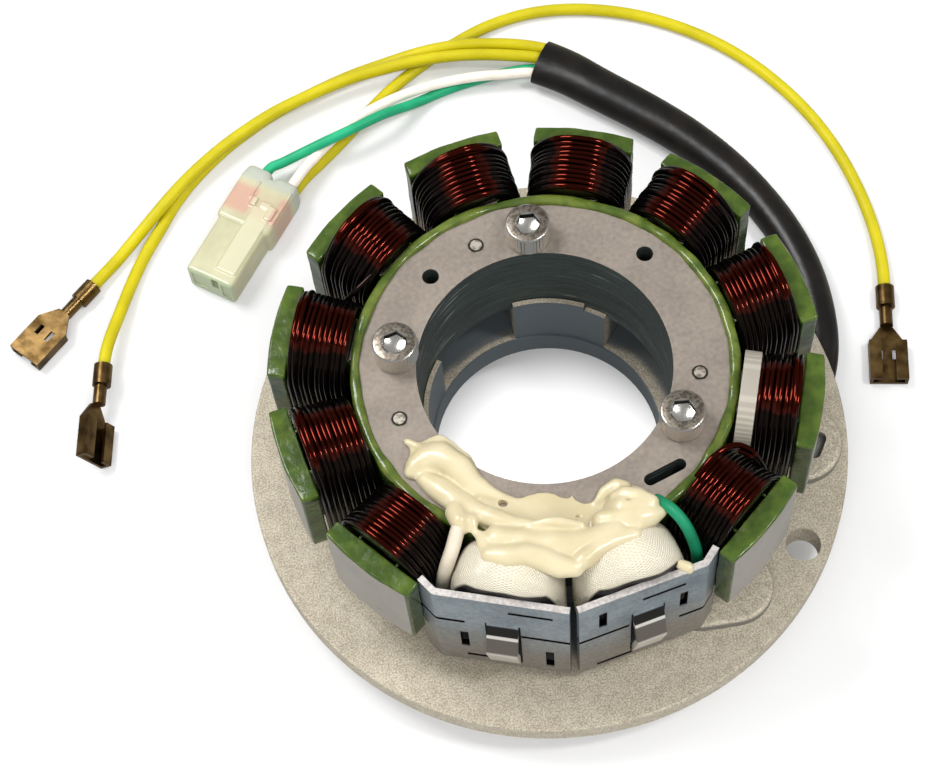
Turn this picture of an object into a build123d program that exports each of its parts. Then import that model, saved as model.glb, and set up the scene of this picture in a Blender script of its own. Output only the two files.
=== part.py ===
from build123d import *
import math
import os

# Wound stator of a flywheel generator: a cast backplate carries a laminated core with ten charging
# coils and two cloth-wrapped source coils. Millimetres, +Z up, origin on the bore axis at the floor.
os.makedirs("parts", exist_ok=True)

# Backplate
plate_radius = 70.0
register_height = 6.6
underside_step = 2.2
step_inset = 1.4
rim_thickness = 5.4
rim_edge = 0.5
hub_radius = 40.0
hub_step = 3.8
hub_thickness = 6.5
register_inner = 38.0
register_outer = 43.0
pedestal_height = 13.4
pedestal_outer = 38.0
pilot_height = 2.8
plate_bore = 26.3
pedestal_setback = 0.4
pilot_wall = 1.2
pedestal_starts = (53.5, 147.5, -68.0)
pedestal_sweep = 46.5
crack_start = 64.2
crack_end = 64.9
chipped_drop = 1.4
fixing_hole = 8.0
fixing_place = (55.2, -32.2)
pad_height = 3.0
pad_edge = 1.0
pad_one_radius = 9.6
pad_one_ends = [(58.2, -8.0), (47.0, -6.4)]
pad_two_radius = 9.0
pad_two_ends = [(37.7, -41.0), (30.0, -41.4)]
pad_slot = (7.0, 3.2)
pad_slot_place = (61.8, -9.3)
pad_slot_turn = 62.0
pad_slot_depth = 2.4

# Laminated core
stack_height = 24.2
core_clearance = 0.2
yoke_radius = 42.0
tip_radius = 60.95
tooth_width = 9.7
head_inner = 56.5
head_half_inner = 10.4
head_half_outer = 10.9
source_tooth_end = 54.7
first_tooth = 74.65
tooth_count = 12
source_teeth = (6, 7)
vent_hole = 3.8
vent_places = [(33.85, 132.2), (35.5, 44.5)]
lead_slot = (10.0, 2.7)
lead_slot_places = [(36.2, -51.2, 22.4), (36.6, -131.0, -24.0)]

# Green epoxy coat
coat = 0.4
bare_radius = 40.9
lip_height = 0.9

# Charging coils
coil_inner = 42.6
coil_outer = 55.9
coil_turns = 11
coil_half_width = 10.3
coil_corner = 9.7
coil_half_height_inner = 15.3
coil_half_height_outer = 18.5
turn_groove = 0.55
bobbin_clearance = 0.15
corner_steps = 3

# Cloth-wrapped source coils: distance along the tooth, half width, half height, corner
source_profile = [
    (42.6, 10.4, 15.2, 8.0),
    (43.8, 11.1, 16.6, 8.8),
    (46.4, 11.6, 17.2, 9.2),
    (51.6, 12.4, 17.2, 9.4),
    (53.6, 12.1, 16.2, 9.0),
    (54.5, 11.1, 14.6, 7.8),
]

# Pole plates
sheet = 1.5
panel_edge = 14.0
panel_bend = 15.0
wing_tip = (53.4, 18.6)
bend_radius = 1.8
plate_low = 17.5
plate_high = 56.2
slit_width = 0.8
tab_width = 6.9
tab_sheet = 1.2
tab_foot = 20.2
tab_knee = 31.5
tab_ridge = 43.2
tab_lean = 3.0
tab_gap = 0.4
# Cuts seen from outside: slits run (from, to, height), windows (from, to, low, high)
right_slits = [(9.4, 20.0, 30.8), (-15.0, -2.6, 37.0), (0.5, 10.1, 50.0), (-9.8, -1.5, 19.1)]
right_windows = [(-9.5, -7.65, 42.0, 50.4), (9.15, 10.95, 36.85, 45.0)]
right_tab_place = 1.8
left_slits = [(-20.0, -8.8, 41.9), (3.5, 15.0, 37.5), (1.0, 10.4, 51.0), (-9.0, -4.6, 21.2)]
left_windows = [(-10.1, -8.25, 26.3, 35.4), (8.6, 10.45, 20.7, 30.0)]
left_tab_place = -0.5

# Screws and rivets
screw_thread = 6.0
screw_length = 40.0
screw_head = 10.0
screw_head_height = 6.0
screw_hex = 5.0
screw_hex_depth = 3.0
screw_edge = 0.6
screw_circle = 32.66
screw_angles = (89.9, 168.1, -31.4)
screw_hole = 6.6
thread_fit = 0.02
rivet_diameter = 3.7
rivet_circle = 33.83
rivet_angles = (110.6, 195.4, -9.9)
rivet_stand = 0.25
rivet_fit = 0.04

# Cable tie round one coil
tie_tooth = 4
tie_inner = 42.8
tie_width = 3.7
tie_thickness = 1.2
tie_clearance = 0.1
tie_head = (6.0, 7.0)

# Sealant
bead_height = 6.2
bead_edge = 1.4
bead_outline = [
    (-31.7, -14.2), (-24.1, -14.3), (-18.2, -19.6), (-12.6, -26.6), (-5.4, -30.4), (2.0, -30.6),
    (8.3, -33.2), (13.9, -29.6), (19.8, -32.8), (21.6, -37.4), (15.3, -42.8), (7.6, -45.4),
    (0.0, -48.8), (-7.0, -44.9), (-14.8, -43.6), (-18.0, -36.4), (-23.0, -30.4), (-30.3, -22.8),
]

# Harness
sleeve_diameter = 9.0
sleeve_clearance = 0.6
channel_width = 10.5
boss_width = 14.0
boss_length = 9.0
boss_hole = 6.5
boss_hole_length = 16.0
yellow_diameter = 3.1
thin_diameter = 2.6
bend_share = 0.45

# Connector and its contacts: lengths run from the mating face to the rear
connector_front = (-78.37, 57.17)
connector_turn = 56.96
connector_height = 8.6
mating_length = 16.8
mating_width = 13.2
shoulder_length = 1.4
grip_length = 32.0
grip_width = 15.2
lobe_radius = 3.7
lobe_length = 35.3
cavity_pitch = 7.6
cavity_width = 5.0
cavity_height = 6.6
cavity_floor = 1.0
cavity_length = 31.0
connector_edge = 0.9
latch_length = 13.0
latch_width = 5.6
latch_height = 0.6
latch_start = 5.0
lead_hole_clearance = 0.4
contact_width = 4.4
contact_height = 6.2
contact_length = 19.0
contact_slot = 1.0
contact_slot_depth = 8.0

# Blade terminals
crimp_diameter = 4.6
crimp_depth = 4.2
crimp_wall = 1.3
crimp_fit = 0.1
wire_crimp_diameter = 3.2
wire_crimp_length = 5.0
flare_length = 4.5
terminal_sheet = 0.8
terminal_width = 9.2
terminal_height = 3.2
terminal_length = 10.5
terminal_gap = 3.4
terminal_window = (1.2, 2.8)
terminal_window_pitch = 3.4
terminal_seat = 1.9

# Levels and places that follow from the sizes
web_bottom = register_height
rim_bottom = web_bottom + underside_step
plate_top = rim_bottom + rim_thickness
hub_top = plate_top + hub_step
hub_bottom = hub_top - hub_thickness
stack_bottom = hub_top + pedestal_height
stack_top = stack_bottom + stack_height
stack_middle = (stack_bottom + stack_top) / 2
pedestal_inner = plate_bore + pedestal_setback
pilot_outer = pedestal_inner + pilot_wall
core_bore = pilot_outer + core_clearance
pilot_top = stack_bottom + pilot_height
tooth_pitch = 360 / tooth_count
coil_teeth = [number for number in range(1, tooth_count + 1) if number not in source_teeth]
channel_roof = sleeve_diameter + sleeve_clearance
overshoot = 1.0


def tooth_angle(number):
    return first_tooth - tooth_pitch * (number - 1)


def polar(radius, angle):
    return (radius * math.cos(math.radians(angle)), radius * math.sin(math.radians(angle)))


def tooth_plane(distance, height=0.0):
    """Plane across a tooth that points along +X: its x runs along the rim, its y is up."""
    return Plane(origin=(distance, 0, height), x_dir=(0, 1, 0), z_dir=(1, 0, 0))


def sector(inner, outer, start, sweep_angle):
    with BuildSketch() as face:
        with BuildLine():
            far = CenterArc((0, 0), outer, start, sweep_angle)
            near = CenterArc((0, 0), inner, start, sweep_angle)
            Line(far @ 0, near @ 0)
            Line(far @ 1, near @ 1)
        make_face()
    return face.sketch


def rounded_points(half_width, half_height, corner):
    """Corners of a rounded rectangle whose round stretches are a few flats each."""
    points = []
    for quarter in range(4):
        side = 1 if quarter in (0, 3) else -1
        level = 1 if quarter in (0, 1) else -1
        for step in range(corner_steps + 1):
            turn = math.radians(90 * (quarter + step / corner_steps))
            across = side * (half_width - corner) + corner * math.cos(turn)
            up = level * (half_height - corner) + corner * math.sin(turn)
            points.append((across, up))
    return points


def bend_radii(points):
    """Radius of each bend: its arc takes the bend share of the shorter run beside it."""
    radii = []
    for before, here, after in zip(points, points[1:], points[2:]):
        first = Vector(*here) - Vector(*before)
        second = Vector(*after) - Vector(*here)
        half_turn = math.radians(first.get_angle(second) / 2)
        radii.append(bend_share * min(first.length, second.length) / math.tan(half_turn))
    return radii


def cord(points, diameter, name):
    radii = bend_radii(points)
    with BuildPart() as tube:
        with BuildLine() as path:
            FilletPolyline(*points, radius=radii)
        with BuildSketch(Plane(origin=points[0], z_dir=Vector(*points[1]) - Vector(*points[0]))):
            Circle(diameter / 2)
        sweep()
    length = sum(edge.length for edge in path.line.edges())
    ratio = tube.part.volume / (math.pi * diameter ** 2 / 4 * length)
    print(name, "length", round(length, 1), "volume ratio", round(ratio, 4),
          "radii in diameters", [round(radius / diameter, 1) for radius in radii])
    tube.part.label = name
    export_step(tube.part, f"parts/{name}.step")
    return tube.part


def sleeve_mouth(side, height, ahead=0.0):
    """A point at the open end of the sleeve: side along the end face, then height, then distance out."""
    end = Vector(*sleeve_route[0])
    out = (end - Vector(*sleeve_route[1])).normalized()
    place = end + Vector(out.Y, -out.X, 0) * side + out * ahead
    return (place.X, place.Y, height)


def connector_point(along, side, height):
    turn = math.radians(connector_turn)
    x = connector_front[0] + along * math.cos(turn) - side * math.sin(turn)
    y = connector_front[1] + along * math.sin(turn) + side * math.cos(turn)
    return (x, y, height)


def tooth_point(number, distance, side, height):
    """A point beside a tooth: distance along its axis, side along the rim, anticlockwise positive."""
    turn = math.radians(tooth_angle(number))
    x = distance * math.cos(turn) - side * math.sin(turn)
    y = distance * math.sin(turn) + side * math.cos(turn)
    return (x, y, height)


# Routes, chosen by hand
sleeve_route = [
    (10.4, 112.8, 4.5), (16.5, 109.4, 4.5), (24.0, 103.0, 4.5), (35.9, 93.6, 4.5), (46.6, 83.8, 4.5),
    (56.8, 71.4, 4.5), (64.2, 58.1, 4.5), (68.6, 45.0, 4.5), (70.1, 32.0, 4.5), (69.2, 20.0, 4.5),
    (65.0, 9.3, 4.5), (57.4, 1.0, 4.5), (47.6, -4.4, 4.5),
]
yellow_1_route = [
    sleeve_mouth(2.7, 4.1), sleeve_mouth(2.7, 4.1, 6.0), (-0.6, 121.2, 4.3), (-8.0, 122.9, 4.9),
    (-17.0, 122.9, 4.9), (-26.0, 121.3, 1.9), (-36.2, 118.4, 1.55), (-44.5, 115.7, 1.55),
    (-52.8, 112.6, 1.55), (-61.0, 108.6, 1.55), (-69.3, 103.3, 1.55), (-77.4, 96.9, 1.55),
    (-84.1, 90.0, 1.55), (-90.0, 82.6, 1.55), (-96.2, 75.2, 1.6), (-102.0, 68.6, 2.3),
    (-107.0, 63.2, 2.4), (-110.9, 59.1, 2.4),
]
yellow_2_route = [
    sleeve_mouth(0.2, 1.75), sleeve_mouth(0.2, 1.75, 6.0), (-3.8, 118.7, 2.0), (-14.0, 119.3, 4.9),
    (-24.4, 117.6, 4.9), (-34.0, 115.0, 1.75), (-44.4, 112.0, 1.55), (-52.8, 108.8, 1.55),
    (-60.9, 104.4, 1.55), (-69.1, 98.7, 1.55), (-76.4, 92.4, 1.55), (-82.4, 85.6, 1.55),
    (-88.0, 78.1, 1.55), (-93.1, 69.8, 1.6), (-97.9, 60.6, 2.2), (-101.9, 51.4, 3.6),
    (-104.4, 43.9, 5.2), (-105.6, 38.0, 5.4), (-106.1, 33.6, 5.4),
]
yellow_3_route = [
    connector_point(31.0, -5.0, 3.1), connector_point(36.8, -5.0, 3.1), (-48.3, 91.2, 1.9),
    (-41.8, 97.7, 1.55), (-34.7, 105.5, 1.55), (-27.0, 112.7, 1.55),
    (-17.8, 119.2, 1.55), (-9.3, 124.2, 1.55), (-0.5, 128.2, 1.55), (10.4, 130.6, 1.55),
    (23.4, 130.1, 1.55), (38.6, 126.0, 1.55), (53.2, 118.0, 1.55), (64.4, 108.4, 1.55),
    (73.1, 97.5, 1.55), (79.0, 87.5, 1.55), (83.3, 77.2, 1.55), (86.3, 66.4, 1.55),
    (88.1, 55.6, 1.6), (88.4, 45.6, 2.2), (87.8, 38.4, 2.4), (87.1, 33.0, 2.4),
]
white_route = [
    sleeve_mouth(-2.9, 3.6), sleeve_mouth(-2.9, 3.6, 4.8), (0.2, 112.6, 3.6), (-5.6, 112.2, 4.6),
    (-13.0, 112.0, 4.6), (-19.2, 111.0, 3.2), (-25.6, 109.2, 3.0), (-31.0, 106.4, 4.4),
    (-35.8, 103.5, 5.1), (-41.4, 99.2, 5.1), (-46.3, 94.4, 5.1),
    (-50.6, 89.9, 5.9), connector_point(36.8, -5.0, 6.6), connector_point(31.0, -5.0, 6.6),
]
green_route = [
    sleeve_mouth(-0.9, 6.1), sleeve_mouth(-0.9, 6.1, 4.8), (0.2, 115.8, 5.2), (-5.8, 114.6, 2.2),
    (-12.0, 110.8, 1.3), (-19.0, 107.9, 1.3), (-25.4, 105.6, 1.6), (-31.0, 103.0, 4.8),
    (-36.2, 100.8, 8.4), (-43.8, 98.0, 8.4), (-49.0, 95.9, 6.4), (-54.0, 94.1, 4.9),
    (-58.5, 92.2, 4.5), connector_point(36.4, 3.8, 4.5), connector_point(31.0, 3.8, 4.5),
]
white_stub_route = [
    tooth_point(7, 36.5, -10.2, 59.4), tooth_point(7, 39.7, -11.4, 59.8), tooth_point(7, 42.8, -11.9, 59.2),
    tooth_point(7, 45.8, -12.2, 57.8), tooth_point(7, 48.4, -13.1, 54.8), tooth_point(7, 50.0, -13.9, 50.8),
    tooth_point(7, 50.8, -14.3, 46.2), tooth_point(7, 51.0, -14.4, 41.6),
]
green_stub_route = [
    tooth_point(6, 38.8, 10.4, 58.8), tooth_point(6, 41.4, 11.5, 60.2), tooth_point(6, 44.2, 12.5, 60.6),
    tooth_point(6, 46.9, 13.5, 59.4), tooth_point(6, 49.2, 14.2, 56.4), tooth_point(6, 50.8, 14.7, 52.4),
    tooth_point(6, 51.6, 14.9, 48.0), tooth_point(6, 51.8, 15.0, 43.4),
]

# Backplate: one aluminium casting, turned on the outside, on the register and in the bore
with BuildPart() as backplate:
    with BuildSketch(Plane.XY.offset(rim_bottom)):
        Circle(plate_radius)
    extrude(amount=rim_thickness)
    top_edge = backplate.edges().filter_by(GeomType.CIRCLE).sort_by(Axis.Z)[-1]
    fillet(top_edge, radius=rim_edge)
    with BuildSketch(Plane.XY.offset(web_bottom)):
        Circle(plate_radius - step_inset)
    extrude(amount=underside_step)
    with BuildSketch():
        Circle(register_outer)
    extrude(amount=register_height)
    # Raised pads on the flange, hub step, pedestals and the pilot tabs that centre the core
    for ends, radius in ((pad_one_ends, pad_one_radius), (pad_two_ends, pad_two_radius)):
        with BuildSketch(Plane.XY.offset(plate_top)):
            with Locations(*ends):
                Circle(radius)
            make_hull()
        extrude(amount=pad_height)
    pad_faces = backplate.faces().filter_by(Axis.Z).group_by(Axis.Z)[-1]
    fillet(pad_faces.edges(), radius=pad_edge)
    with BuildSketch(Plane.XY.offset(plate_top)):
        Circle(hub_radius)
    extrude(amount=hub_step)
    with BuildSketch(Plane.XY.offset(hub_top)):
        for start in pedestal_starts:
            add(sector(pedestal_inner, pedestal_outer, start, pedestal_sweep))
    extrude(amount=pedestal_height)
    with BuildSketch(Plane.XY.offset(stack_bottom)):
        rest_sweep = pedestal_starts[0] + pedestal_sweep - crack_end
        add(sector(pedestal_inner, pilot_outer, crack_end, rest_sweep))
        for start in pedestal_starts[1:]:
            add(sector(pedestal_inner, pilot_outer, start, pedestal_sweep))
    extrude(amount=pilot_height)
    with BuildSketch(Plane.XY.offset(stack_bottom)):
        first_sweep = crack_start - pedestal_starts[0]
        add(sector(pedestal_inner, pilot_outer, pedestal_starts[0], first_sweep))
    extrude(amount=pilot_height - chipped_drop)
    # Channel for the harness, and the boss that its sleeve ends on
    with BuildSketch():
        with BuildLine():
            under = [point[:2] for point in sleeve_route[-5:]]
            FilletPolyline(*under, radius=bend_radii([(*point, 0) for point in under]))
        trace(line_width=channel_width)
    extrude(amount=channel_roof, mode=Mode.SUBTRACT)
    sleeve_end = Vector(*sleeve_route[-1])
    sleeve_way = (sleeve_end - Vector(*sleeve_route[-2])).normalized()
    with BuildSketch(Plane(origin=(sleeve_end.X, sleeve_end.Y, 0), x_dir=sleeve_way, z_dir=(0, 0, 1))):
        Rectangle(boss_length, boss_width, align=(Align.MIN, Align.CENTER))
    extrude(amount=channel_roof)
    with BuildSketch():
        Circle(register_inner)
    extrude(amount=hub_bottom, mode=Mode.SUBTRACT)
    with BuildSketch(Plane(origin=sleeve_end, z_dir=sleeve_way)):
        Circle(boss_hole / 2)
    extrude(amount=boss_hole_length, mode=Mode.SUBTRACT)
    # Bore, tapped holes, fixing hole and the slot in the first pad
    with BuildSketch():
        Circle(plate_bore)
    extrude(amount=pilot_top + overshoot, mode=Mode.SUBTRACT)
    with Locations(*[(*polar(screw_circle, angle), stack_bottom) for angle in screw_angles]):
        Hole((screw_thread + thread_fit) / 2, depth=stack_bottom)
    with Locations((*fixing_place, plate_top)):
        Hole(fixing_hole / 2, depth=plate_top)
    with BuildSketch(Plane.XY.offset(plate_top + pad_height)):
        with Locations(pad_slot_place):
            SlotOverall(*pad_slot, rotation=pad_slot_turn)
    extrude(amount=-pad_slot_depth, mode=Mode.SUBTRACT)
backplate.part.label = "backplate"
export_step(backplate.part, "parts/backplate.step")


def laminate_outline(growth):
    """Outline of the laminations without their holes, grown by a coat on all but the tooth ends."""
    with BuildSketch() as outline:
        for number in range(1, tooth_count + 1):
            reach = source_tooth_end if number in source_teeth else head_inner
            with Locations(Location((0, 0, 0), (0, 0, tooth_angle(number)))):
                Rectangle(reach, tooth_width + 2 * growth, align=(Align.MIN, Align.CENTER))
        for number in coil_teeth:
            corners = [
                (head_inner - growth, -head_half_inner - growth),
                (tip_radius, -head_half_outer - growth),
                (tip_radius, head_half_outer + growth),
                (head_inner - growth, head_half_inner + growth),
            ]
            with Locations(Location((0, 0, 0), (0, 0, tooth_angle(number)))):
                Polygon(*corners, align=None)
        Circle(yoke_radius + growth)
        Circle(tip_radius, mode=Mode.INTERSECT)
    return outline.sketch


# Core: steel laminations, modelled as one stack
with BuildPart() as stator_core:
    with BuildSketch(Plane.XY.offset(stack_bottom)):
        add(laminate_outline(0))
        Circle(core_bore, mode=Mode.SUBTRACT)
        with Locations(*[polar(screw_circle, angle) for angle in screw_angles]):
            Circle(screw_hole / 2, mode=Mode.SUBTRACT)
        with Locations(*[polar(rivet_circle, angle) for angle in rivet_angles]):
            Circle((rivet_diameter + rivet_fit) / 2, mode=Mode.SUBTRACT)
        with Locations(*[polar(radius, angle) for radius, angle in vent_places]):
            Circle(vent_hole / 2, mode=Mode.SUBTRACT)
        for radius, angle, turn in lead_slot_places:
            with Locations(polar(radius, angle)):
                SlotOverall(*lead_slot, rotation=turn, mode=Mode.SUBTRACT)
    extrude(amount=stack_height)
stator_core.part.label = "stator_core"
export_step(stator_core.part, "parts/stator_core.step")

# Insulation: epoxy coat round the teeth and in the slots, with a lip on both faces of the yoke
with BuildPart() as core_insulation:
    with BuildSketch(Plane.XY.offset(stack_bottom - coat)):
        add(laminate_outline(coat))
    extrude(amount=stack_height + 2 * coat)
    with BuildSketch(Plane.XY.offset(stack_bottom - lip_height)):
        Circle(yoke_radius + coat)
    extrude(amount=stack_height + 2 * lip_height)
    with BuildSketch(Plane.XY.offset(stack_bottom - lip_height)):
        Circle(bare_radius)
    extrude(amount=stack_height + 2 * lip_height, mode=Mode.SUBTRACT)
    add(stator_core.part, mode=Mode.SUBTRACT)
core_insulation.part.label = "core_insulation"
export_step(core_insulation.part, "parts/core_insulation.step")

# Charging coil: one V-grooved ring of wire for each turn, taller towards the rim, on its own tooth
bobbin_hole = (
    tooth_width + 2 * (coat + bobbin_clearance),
    stack_height + 2 * (coat + bobbin_clearance),
)
coil_sections = []
for step in range(2 * coil_turns + 1):
    share = step / (2 * coil_turns)
    depth = turn_groove * (1 - step % 2)
    height = coil_half_height_inner + share * (coil_half_height_outer - coil_half_height_inner)
    place = coil_inner + share * (coil_outer - coil_inner)
    coil_sections.append((place, coil_half_width - depth, height - depth, coil_corner - depth))
with BuildPart() as coil_form:
    for place, half_width, half_height, corner in coil_sections:
        with BuildSketch(tooth_plane(place, stack_middle)):
            Polygon(*rounded_points(half_width, half_height, corner), align=None)
    loft(ruled=True)
    with BuildSketch(tooth_plane(coil_inner, stack_middle)):
        Rectangle(*bobbin_hole)
    extrude(amount=coil_outer - coil_inner, mode=Mode.SUBTRACT)
coils = {}
for number in coil_teeth:
    coil = coil_form.part.rotate(Axis.Z, tooth_angle(number))
    coil.label = f"coil_{number:02d}"
    export_step(coil, f"parts/coil_{number:02d}.step")
    coils[number] = coil

# Source coil: fine winding wrapped in cloth tape, a pillow that fills its slots
with BuildPart() as source_form:
    for place, half_width, half_height, corner in source_profile:
        with BuildSketch(tooth_plane(place, stack_middle)):
            Polygon(*rounded_points(half_width, half_height, corner), align=None)
    loft(ruled=True)
    with BuildSketch(tooth_plane(source_profile[0][0], stack_middle)):
        Rectangle(*bobbin_hole)
    extrude(amount=source_profile[-1][0] - source_profile[0][0], mode=Mode.SUBTRACT)
source_coils = {}
for number, side_name in zip(source_teeth, ("right", "left")):
    source_coil = source_form.part.rotate(Axis.Z, tooth_angle(number))
    source_coil.label = f"source_coil_{side_name}"
    export_step(source_coil, f"parts/source_coil_{side_name}.step")
    source_coils[side_name] = source_coil


def pole_plate(wing_side, slits, windows, tab_place):
    """Folded plate on the end of a tooth that points along +X."""
    outer = source_tooth_end + sheet
    with BuildPart() as plate:
        with BuildSketch(Plane.XY.offset(plate_low)):
            with BuildLine():
                bend = (outer, wing_side * panel_bend)
                tip = (wing_tip[0], wing_side * wing_tip[1])
                FilletPolyline((outer, -wing_side * panel_edge), bend, tip, radius=bend_radius)
                offset(amount=sheet, side=Side.LEFT if wing_side > 0 else Side.RIGHT)
            make_face()
        extrude(amount=plate_high - plate_low)
        with BuildSketch(tooth_plane(outer + overshoot)):
            for start, end, height in slits:
                with Locations(((start + end) / 2, height)):
                    Rectangle(end - start, slit_width)
            for start, end, low, high in windows:
                with Locations(((start + end) / 2, (low + high) / 2)):
                    Rectangle(end - start, high - low)
            with Locations((tab_place, (tab_foot + tab_ridge) / 2)):
                Rectangle(tab_width + 2 * tab_gap, tab_ridge - tab_foot)
        extrude(amount=-(outer + overshoot - wing_tip[0] + 2 * sheet), mode=Mode.SUBTRACT)
        # Lanced tab: out from its foot to the knee, then folded back in to the ridge
        skin = outer - tab_sheet / 2
        with BuildSketch(Plane.XZ.offset(-tab_place)):
            with BuildLine():
                Polyline((skin, tab_foot - tab_sheet), (skin + tab_lean, tab_knee), (skin, tab_ridge))
                offset(amount=tab_sheet / 2)
            make_face()
        extrude(amount=tab_width / 2, both=True)
    return plate.part


pole_plates = {
    "right": pole_plate(1, right_slits, right_windows, right_tab_place),
    "left": pole_plate(-1, left_slits, left_windows, left_tab_place),
}
for number, side_name in zip(source_teeth, ("right", "left")):
    plate = pole_plates[side_name].rotate(Axis.Z, tooth_angle(number))
    plate.label = f"pole_plate_{side_name}"
    export_step(plate, f"parts/pole_plate_{side_name}.step")

# Cap screws and rivets that hold the core
screw_places = [polar(screw_circle, angle) for angle in screw_angles]
with BuildPart() as cap_screws:
    with BuildSketch(Plane.XY.offset(stack_top)):
        with Locations(*screw_places):
            Circle(screw_head / 2)
    extrude(amount=screw_head_height)
    fillet(cap_screws.faces().sort_by(Axis.Z)[-3:].edges(), radius=screw_edge)
    with BuildSketch(Plane.XY.offset(stack_top)):
        with Locations(*screw_places):
            Circle(screw_thread / 2)
    extrude(amount=-screw_length)
    with BuildSketch(Plane.XY.offset(stack_top + screw_head_height)):
        with Locations(*screw_places):
            RegularPolygon(screw_hex / 2, 6, major_radius=False)
    extrude(amount=-screw_hex_depth, mode=Mode.SUBTRACT)
cap_screws.part.label = "cap_screws"
export_step(cap_screws.part, "parts/cap_screws.step")

with BuildPart() as core_rivets:
    with BuildSketch(Plane.XY.offset(stack_bottom)):
        with Locations(*[polar(rivet_circle, angle) for angle in rivet_angles]):
            Circle(rivet_diameter / 2)
    extrude(amount=stack_height + rivet_stand)
    chamfer(core_rivets.faces().sort_by(Axis.Z)[-3:].edges(), length=rivet_stand)
core_rivets.part.label = "core_rivets"
export_step(core_rivets.part, "parts/core_rivets.step")

# Cable tie: a nylon band round the inner end of one coil, its head underneath
tie_share = (tie_inner + tie_width - coil_inner) / (coil_outer - coil_inner)
tie_rise = tie_share * (coil_half_height_outer - coil_half_height_inner)
tie_half_width = coil_half_width + tie_clearance
tie_half_height = coil_half_height_inner + tie_rise + tie_clearance
with BuildPart() as tie_form:
    with BuildSketch(tooth_plane(tie_inner, stack_middle)):
        RectangleRounded(
            2 * (tie_half_width + tie_thickness),
            2 * (tie_half_height + tie_thickness),
            coil_corner + tie_thickness,
        )
        with Locations((0, -tie_half_height - tie_thickness)):
            Rectangle(tie_head[0], tie_head[1])
        RectangleRounded(2 * tie_half_width, 2 * tie_half_height, coil_corner, mode=Mode.SUBTRACT)
    extrude(amount=tie_width)
cable_tie = tie_form.part.rotate(Axis.Z, tooth_angle(tie_tooth))
cable_tie.label = "cable_tie"
export_step(cable_tie, "parts/cable_tie.step")

# Harness: the sleeve, its five leads and the two short leads at the sealant
cord(sleeve_route, sleeve_diameter, "harness_sleeve")
cord(yellow_1_route, yellow_diameter, "yellow_lead_1")
cord(yellow_2_route, yellow_diameter, "yellow_lead_2")
cord(yellow_3_route, yellow_diameter, "yellow_lead_3")
cord(white_route, thin_diameter, "white_lead")
cord(green_route, thin_diameter, "green_lead")
white_stub = cord(white_stub_route, thin_diameter, "white_lead_stub")
green_stub = cord(green_stub_route, thin_diameter, "green_lead_stub")

# Sealant: a hand-laid bead on the yoke that closes round the coils and leads it covers. The coils
# cut crumbs off its border, so only the largest solid stays.
with BuildPart() as silicone_bead:
    with BuildSketch(Plane.XY.offset(stack_top)):
        with BuildLine():
            Spline(*bead_outline, periodic=True)
        make_face()
    extrude(amount=bead_height)
    fillet(silicone_bead.faces().sort_by(Axis.Z)[-1].edges(), radius=bead_edge)
    add(core_insulation.part, mode=Mode.SUBTRACT)
    for neighbour in (*source_coils.values(), coils[5], coils[8], coils[9], white_stub, green_stub):
        add(neighbour, mode=Mode.SUBTRACT)
bead = silicone_bead.part.solids().sort_by(SortBy.VOLUME)[-1]
bead.label = "silicone_bead"
export_step(bead, "parts/silicone_bead.step")

# Connector housing: two cavities side by side, open at the mating face
connector_plan = Plane(
    origin=(*connector_front, 0),
    x_dir=Vector(*connector_point(1, 0, 0)) - Vector(*connector_front, 0),
    z_dir=(0, 0, 1),
)
connector_face = Plane(
    origin=(*connector_front, 0),
    x_dir=connector_plan.y_dir,
    z_dir=connector_plan.x_dir,
)
cavity_sides = (-cavity_pitch / 2, cavity_pitch / 2)
with BuildPart() as connector_housing:
    with BuildSketch(connector_plan):
        Rectangle(mating_length, mating_width, align=(Align.MIN, Align.CENTER))
        shoulder_end = mating_length + shoulder_length
        with BuildLine():
            Polyline(
                (mating_length, -mating_width / 2),
                (shoulder_end, -grip_width / 2),
                (grip_length, -grip_width / 2),
                (grip_length, grip_width / 2),
                (shoulder_end, grip_width / 2),
                (mating_length, mating_width / 2),
                close=True,
            )
        make_face()
        with Locations(*[(lobe_length - lobe_radius, side) for side in cavity_sides]):
            Circle(lobe_radius)
    extrude(amount=connector_height)
    fillet(connector_housing.faces().sort_by(Axis.Z)[-1].edges(), radius=connector_edge)
    with BuildSketch(connector_plan.offset(connector_height)):
        with Locations((latch_start, 0)):
            Rectangle(latch_length, latch_width, align=(Align.MIN, Align.CENTER))
    extrude(amount=latch_height)
    with BuildSketch(connector_face):
        with Locations(*[(side, cavity_floor) for side in cavity_sides]):
            Rectangle(cavity_width, cavity_height, align=(Align.CENTER, Align.MIN))
    extrude(amount=cavity_length, mode=Mode.SUBTRACT)
    for route, diameter, index in (
        (yellow_3_route, yellow_diameter, 0), (white_route, thin_diameter, -1),
        (green_route, thin_diameter, -1),
    ):
        with BuildSketch(Plane(origin=route[index], z_dir=connector_plan.x_dir)):
            Circle((diameter + lead_hole_clearance) / 2)
        extrude(amount=lobe_length - cavity_length + overshoot, mode=Mode.SUBTRACT)
connector_housing.part.label = "connector_housing"
export_step(connector_housing.part, "parts/connector_housing.step")

# Contacts: each stands on its cavity's floor, slotted for the mating blade
for number, side in enumerate(cavity_sides, start=1):
    with BuildPart() as contact:
        with BuildSketch(connector_face.offset(cavity_length)):
            with Locations((side, cavity_floor)):
                Rectangle(contact_width, contact_height, align=(Align.CENTER, Align.MIN))
        extrude(amount=-contact_length)
        with BuildSketch(connector_face.offset(cavity_length - contact_length)):
            with Locations((side, cavity_floor + contact_height / 2)):
                Rectangle(contact_width, contact_slot)
        extrude(amount=contact_slot_depth, mode=Mode.SUBTRACT)
    contact.part.label = f"contact_{number}"
    export_step(contact.part, f"parts/contact_{number}.step")


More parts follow.
